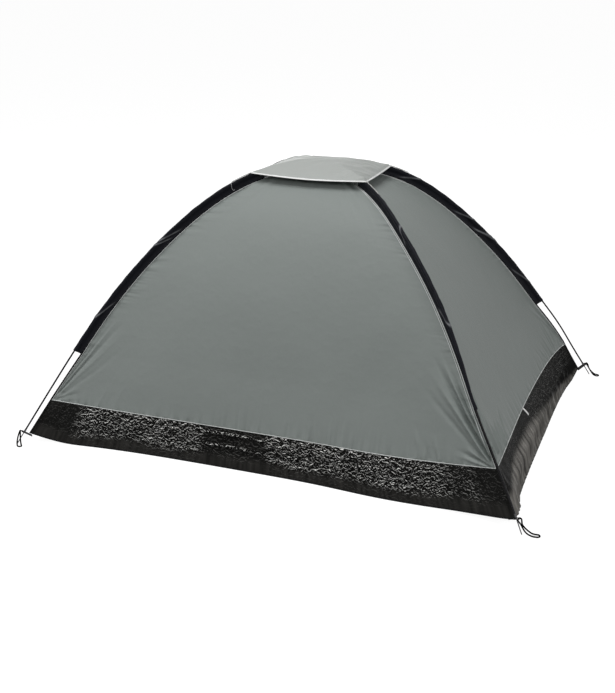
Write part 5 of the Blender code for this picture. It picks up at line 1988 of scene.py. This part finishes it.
def on_door(x, rise, outward=0.0):
    """A point on the door wall's cloth, at world x and a rise from the sill."""
    at = at_stops(DOOR_TABLE, rise)
    half = wall_row("door", at)[0] - PANEL_TRIM
    return wall_surface("door", -x / half, at, outward), wall_normal("door", at)


def door_outline(inset, hinge_x, steps=10):
    """The doorway in the plane of its chord as (x, rise): straight at the hinge, rounded at the free side."""
    free = DOOR_FREE_X - inset
    spots = [(hinge_x, inset)]
    for centre_rise, radius, start in (
        (DOOR_FOOT_RADIUS, DOOR_FOOT_RADIUS - inset, -math.pi / 2),
        (DOOR_LENGTH - DOOR_HEAD_RADIUS, DOOR_HEAD_RADIUS - inset, 0.0),
    ):
        for i in range(steps + 1):
            angle = start + math.pi / 2 * i / steps
            x = free - radius + radius * math.cos(angle)
            spots.append((x, centre_rise + radius * math.sin(angle)))
    spots.append((hinge_x, DOOR_LENGTH - inset))
    return spots


def door_area():
    foot, head = DOOR_FOOT_RADIUS, DOOR_HEAD_RADIUS
    return DOOR_WIDTH * DOOR_LENGTH - (1 - math.pi / 4) * (foot**2 + head**2)


def doorway_cutter(inset, hinge_x):
    """A cutter with the doorway's outline, run both ways square to its chord."""
    outline = [DOOR_LOW + Vector((x, 0, 0)) + rise * DOOR_UP for x, rise in door_outline(inset, hinge_x)]
    run = DOOR_OUT * DOORWAY_CUT_DEPTH
    count = len(outline)
    verts = [point - run for point in outline] + [point + run for point in outline]
    faces = [tuple(range(count)), tuple(range(2 * count - 1, count - 1, -1))]
    faces += [(k, (k + 1) % count, count + (k + 1) % count, count + k) for k in range(count)]
    return new_mesh("doorway", verts, faces)


def zip_line(inset, outward):
    """Spots round the zip at an inset from the doorway's edge, evenly spaced."""
    corners = [Vector((x, rise, 0)) for x, rise in door_outline(inset, DOOR_HINGE_X + GAP, steps=24)]
    marks = distances(corners)
    spots = []
    for at in even_steps(0, marks[-1], int(marks[-1] / ZIP_STEP)):
        i, share = span_at(marks, at)
        spot = corners[i].lerp(corners[i + 1], min(share, 1.0))
        spots.append(on_door(spot.x, spot.y, outward))
    return spots


def tape_strip(name, inset, width):
    return sweep(name, lined(zip_line(inset + width / 2, TAPE_PROUD - 0.0001)),
                 [(-width / 2, -0.0007), (-width / 2, 0.0), (-width / 2 + 0.0008, 0.0003),
                  (width / 2 - 0.0008, 0.0003), (width / 2, 0.0), (width / 2, -0.0007)])


def coil(name, inset, lean):
    """The turns of one side of the zip's chain, as small rounded lugs."""
    spots = lined(zip_line(inset, TAPE_PROUD + 0.0003))
    points = [spot[0] for spot in spots]
    marks = distances(points)
    verts = []
    faces = []
    for number in range(int(marks[-1] / TOOTH_PITCH)):
        at = (number + (0.5 if lean > 0 else 0.0)) * TOOTH_PITCH
        i, share = span_at(marks, at)
        point = points[i].lerp(points[i + 1], share)
        heading = (points[i + 1] - points[i]).normalized()
        _, aside, outward = spots[i]
        base = len(verts)
        for half_long, half_wide, height in TOOTH:
            for a, b in ((-1, -1), (1, -1), (1, 1), (-1, 1)):
                verts.append(point + heading * half_long * a + aside * half_wide * b + outward * height)
        for level in (0, 4):
            for k in range(4):
                m = (k + 1) % 4
                faces.append((base + level + k, base + level + m, base + level + 4 + m, base + level + 4 + k))
        faces.append((base + 3, base + 2, base + 1, base))
        faces.append((base + 8, base + 9, base + 10, base + 11))
    thing = new_mesh(name, verts, faces)
    thing.data.shade_smooth()
    return thing


def build_door():
    wall_tape = tape_strip("tape_on_wall", GAP, TAPE_WIDTH)
    dress(wall_tape, "tape", "tent", "zip_chain", "zip_tape_wall")
    dress(coil("coil_on_wall", GAP + TAPE_WIDTH - COIL_AT, 1), "coil", "tent", "zip_chain")
    door_tape = tape_strip("tape_on_door", GAP + TAPE_STEP, TAPE_WIDTH)
    dress(door_tape, "tape", AT_HINGE, "zip_chain", "zip_tape_door")
    door_coil = coil("coil_on_door", GAP + TAPE_STEP + COIL_AT, -1)
    dress(door_coil, "coil", AT_HINGE, "zip_chain")

    def place(x, rise):
        return on_door(x, rise)[0]

    xs = even_steps(DOOR_HINGE_X - 0.002, DOOR_FREE_X, 150)
    rises = even_steps(0.0, DOOR_LENGTH, 150)
    panel = cloth("door_cloth", xs, rises, place, lambda x, rise: (x, rise), DOOR_OUT, CANOPY_SKIN)
    cut_with(panel, doorway_cutter(2 * TAPE_STEP - DOOR_UNDER_TAPE, DOOR_HINGE_X + GAP), "INTERSECT")
    dress(panel, "canopy", AT_HINGE, "canopy_cloth", "door_panel")
    thread = stitches("door_thread", [zip_line(*row) for row in DOOR_THREADS])
    dress(thread, "dark_thread", AT_HINGE, "canopy_cloth")
    frame_thread = stitches("doorway_thread", [zip_line(*row) for row in DOORWAY_THREADS])
    dress(frame_thread, "dark_thread", "tent", "canopy_cloth")
    rises = even_steps(0.0, DOOR_LENGTH, 160)
    hinge_row = [on_door(DOOR_HINGE_X - HINGE_THREAD_AT, rise, THREAD_LIFT) for rise in rises]
    dress(stitches("hinge_thread", [hinge_row]), "grey_thread", "tent", "canopy_cloth")


def slider_master():
    """A zip slider in its own frame: X its way of travel, Z off the cloth."""
    lift = TAPE_PROUD + SLIDER_AIR
    height = SLIDER_HEIGHT * 0.62
    body = block("slider_body", (SLIDER_LENGTH, SLIDER_WIDTH, height), (0, 0, lift + height / 2), 0.0006)
    bridge = block("slider_bridge", (SLIDER_LENGTH * 0.62, SLIDER_WIDTH * 0.30, SLIDER_HEIGHT * 0.38),
                   (0, 0, lift + SLIDER_HEIGHT * 0.81), 0.0005)
    return join("slider_master", [body, bridge])


def puller_master():
    """The puller lies flat along the slider's way, with a hole at each end and a sunk middle."""
    lift = TAPE_PROUD + SLIDER_AIR
    height = lift + SLIDER_HEIGHT - PULLER_THICKNESS / 2 + GAP
    plate = block("puller_plate", (PULLER_LENGTH, PULLER_WIDTH, PULLER_THICKNESS),
                  (PULLER_LENGTH / 2, 0, height), 0.0007)
    for share in (0.87, 0.08):
        deselect()
        bpy.ops.mesh.primitive_cylinder_add(vertices=24, radius=PULLER_HOLE / 2, depth=0.01,
                                            location=(PULLER_LENGTH * share, 0, height))
        cut_with(plate, bpy.context.object, "DIFFERENCE")
    deselect()
    bpy.ops.mesh.primitive_cube_add(size=1)
    recess = bpy.context.object
    size = Matrix.Diagonal((PULLER_LENGTH * 0.48, PULLER_WIDTH * 0.55, PULLER_THICKNESS, 1))
    place = Matrix.Translation((PULLER_LENGTH * 0.46, 0, height + PULLER_THICKNESS * 0.75))
    recess.data.transform(place @ size)
    cut_with(plate, recess, "DIFFERENCE")
    plate.data.shade_smooth()
    plate.data.set_sharp_from_angle(angle=math.radians(TURNED_EDGE_DEG))
    return plate


def build_sliders():
    slider, puller = slider_master(), puller_master()
    zip_middle = TAPE_STEP + GAP / 2
    rise = DOOR_FOOT_RADIUS + SLIDER_START
    foot, out_foot = on_door_smooth(zip_middle)
    start, _ = on_door_smooth(rise)
    end, _ = on_door_smooth(rise + SIDE_SLIDER_TRAVEL)
    way_up = (end - start).normalized()
    sill_place = foot + Vector((DOOR_FREE_X - DOOR_FOOT_RADIUS - SLIDER_START, 0, 0))
    side_place = start + Vector((DOOR_FREE_X - zip_middle, 0, 0))
    plans = (
        ("sill", sill_place, out_foot, Vector((-1, 0, 0)), math.pi / 2),
        ("side", side_place, Vector((0, way_up.z, -way_up.y)), way_up, math.pi),
    )
    for name, point, outward, travel, turn in plans:
        matrix = Matrix((travel, outward.cross(travel), outward)).transposed().to_4x4()
        matrix.translation = point
        body = placed_copy(slider, f"slider_{name}", matrix)
        pull = placed_copy(puller, f"puller_{name}", matrix @ Matrix.Rotation(turn, 4, "Z"))
        dress(body, "enamel", f"{name}_slider", "slider_metal", f"zip_slider_{name}")
        dress(pull, "enamel", f"{name}_slider", "slider_metal")
    for thing in (slider, puller):
        bpy.data.objects.remove(thing, do_unlink=True)


def on_door_smooth(rise):
    """The door wall's middle and normal at a rise, without its folds."""
    at = at_stops(DOOR_TABLE, rise)
    _, depth, up, _, _ = wall_row("door", at)
    return Vector((0, depth, up)), wall_normal("door", at)


# Tag


def build_tag():
    """A small blank tag, caught in the seam above the right tub wall."""
    seam = tub_surface("right", TAG_Y / wall_row("right", BAND_AT)[0], 1)

    def place(a, b):
        out = 0.003 + TAG_LENGTH * 0.70 * b
        down = TAG_LENGTH * 0.70 * b - 0.0015 * math.sin(math.pi * b)
        return seam + Vector((out, a * TAG_WIDTH / 2, 0.001 - down))

    tag = cloth("blank_tag", even_steps(-1, 1, 8), even_steps(0, 1, 24), place,
                lambda a, b: (a * TAG_WIDTH / 2, b * TAG_LENGTH), Vector((1, 0, 1)), TAG_SKIN)
    dress(tag, "tag", "tent", "cover_cloth")


# The tent as pitched


def settle():
    """Move every piece by the same soft field, as the pitched tent has sunk or spread in places."""
    for thing in bpy.context.scene.objects:
        if thing.type != "MESH" or thing.name in frame["nodes"] or thing.name == "studio_floor":
            continue
        spots = numpy.empty(3 * len(thing.data.vertices))
        thing.data.vertices.foreach_get("co", spots)
        thing.data.vertices.foreach_set("co", settled(spots.reshape(-1, 3)).ravel())
        thing.data.update()


# Stage, light and camera


def build_floor_plane():
    deselect()
    bpy.ops.mesh.primitive_plane_add(size=2 * FLOOR_HALF)
    ground = bpy.context.object
    ground.name = "studio_floor"
    look = bpy.data.materials.new("studio_floor")
    look.use_nodes = True
    tree = look.node_tree
    shader = tree.nodes["Principled BSDF"]
    shader.inputs["Base Color"].default_value = (FLOOR_GREY, FLOOR_GREY, FLOOR_GREY, 1)
    shader.inputs["Roughness"].default_value = 0.9
    shader.inputs["Specular IOR Level"].default_value = 0.0
    shader.inputs["Emission Color"].default_value = (1, 1, 1, 1)
    glow = add_math(tree, "MULTIPLY", seen_rays(tree), FLOOR_GLOW)
    tree.links.new(glow, shader.inputs["Emission Strength"])
    ground.data.materials.append(look)
    ground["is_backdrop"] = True


def seen_rays(tree):
    """1 for the rays that see the background: from the camera, and by gloss or through glass."""
    path = add_node(tree, "ShaderNodeLightPath")
    first = add_math(tree, "MAXIMUM", path.outputs["Is Camera Ray"], path.outputs["Is Glossy Ray"])
    return add_math(tree, "MAXIMUM", first, path.outputs["Is Transmission Ray"])


def build_world():
    world = bpy.data.worlds.new("studio")
    bpy.context.scene.world = world
    world.use_nodes = True
    tree = world.node_tree
    background = tree.nodes["Background"]
    background.inputs["Color"].default_value = (1, 1, 1, 1)
    strength = add_math(tree, "MULTIPLY_ADD", seen_rays(tree), 1 - WORLD_LIGHT, WORLD_LIGHT)
    tree.links.new(strength, background.inputs["Strength"])


def add_lamp(name, point, target, width, height, power):
    data = bpy.data.lights.new(name, "AREA")
    data.shape = "RECTANGLE"
    data.size = width
    data.size_y = height
    data.energy = power
    lamp = bpy.data.objects.new(name, data)
    bpy.context.scene.collection.objects.link(lamp)
    lamp.location = point
    lamp.rotation_euler = (Vector(target) - Vector(point)).to_track_quat("-Z", "Y").to_euler()


def build_camera():
    data = bpy.data.cameras.new("camera")
    data.lens = CAMERA_LENS
    data.sensor_width = CAMERA_SENSOR
    data.clip_end = CAMERA_SIGHT
    camera = bpy.data.objects.new("camera", data)
    bpy.context.scene.collection.objects.link(camera)
    camera.location = CAMERA_AT
    camera.rotation_euler = (math.radians(90 + CAMERA_PITCH_DEG), 0, math.radians(CAMERA_YAW_DEG))
    bpy.context.scene.camera = camera


bpy.context.scene.view_settings.view_transform = "Standard"
build_camera()
build_world()
for lamp_name, lamp_plan in LAMPS.items():
    add_lamp(lamp_name, *lamp_plan)
build_floor_plane()
for each_corner in CORNERS:
    build_peg_loop(each_corner)
build_walls()
build_tub()
build_floor_sheet()
build_roof_mesh()
build_cover()
for each_number, each_corner in enumerate(CORNERS):
    build_sleeve(each_corner, each_number)
    build_seam_tape(each_corner)
    build_corner_tab(each_corner)
    build_cover_elastic(each_corner)
build_poles()
build_pole_tips()
build_eyelets()
build_door()
build_sliders()
build_tag()

settle()

boxes = {"cad": CAD_BOX, "visual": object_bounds()}
{key: [list(corner) for corner in box] for key, box in boxes.items()}
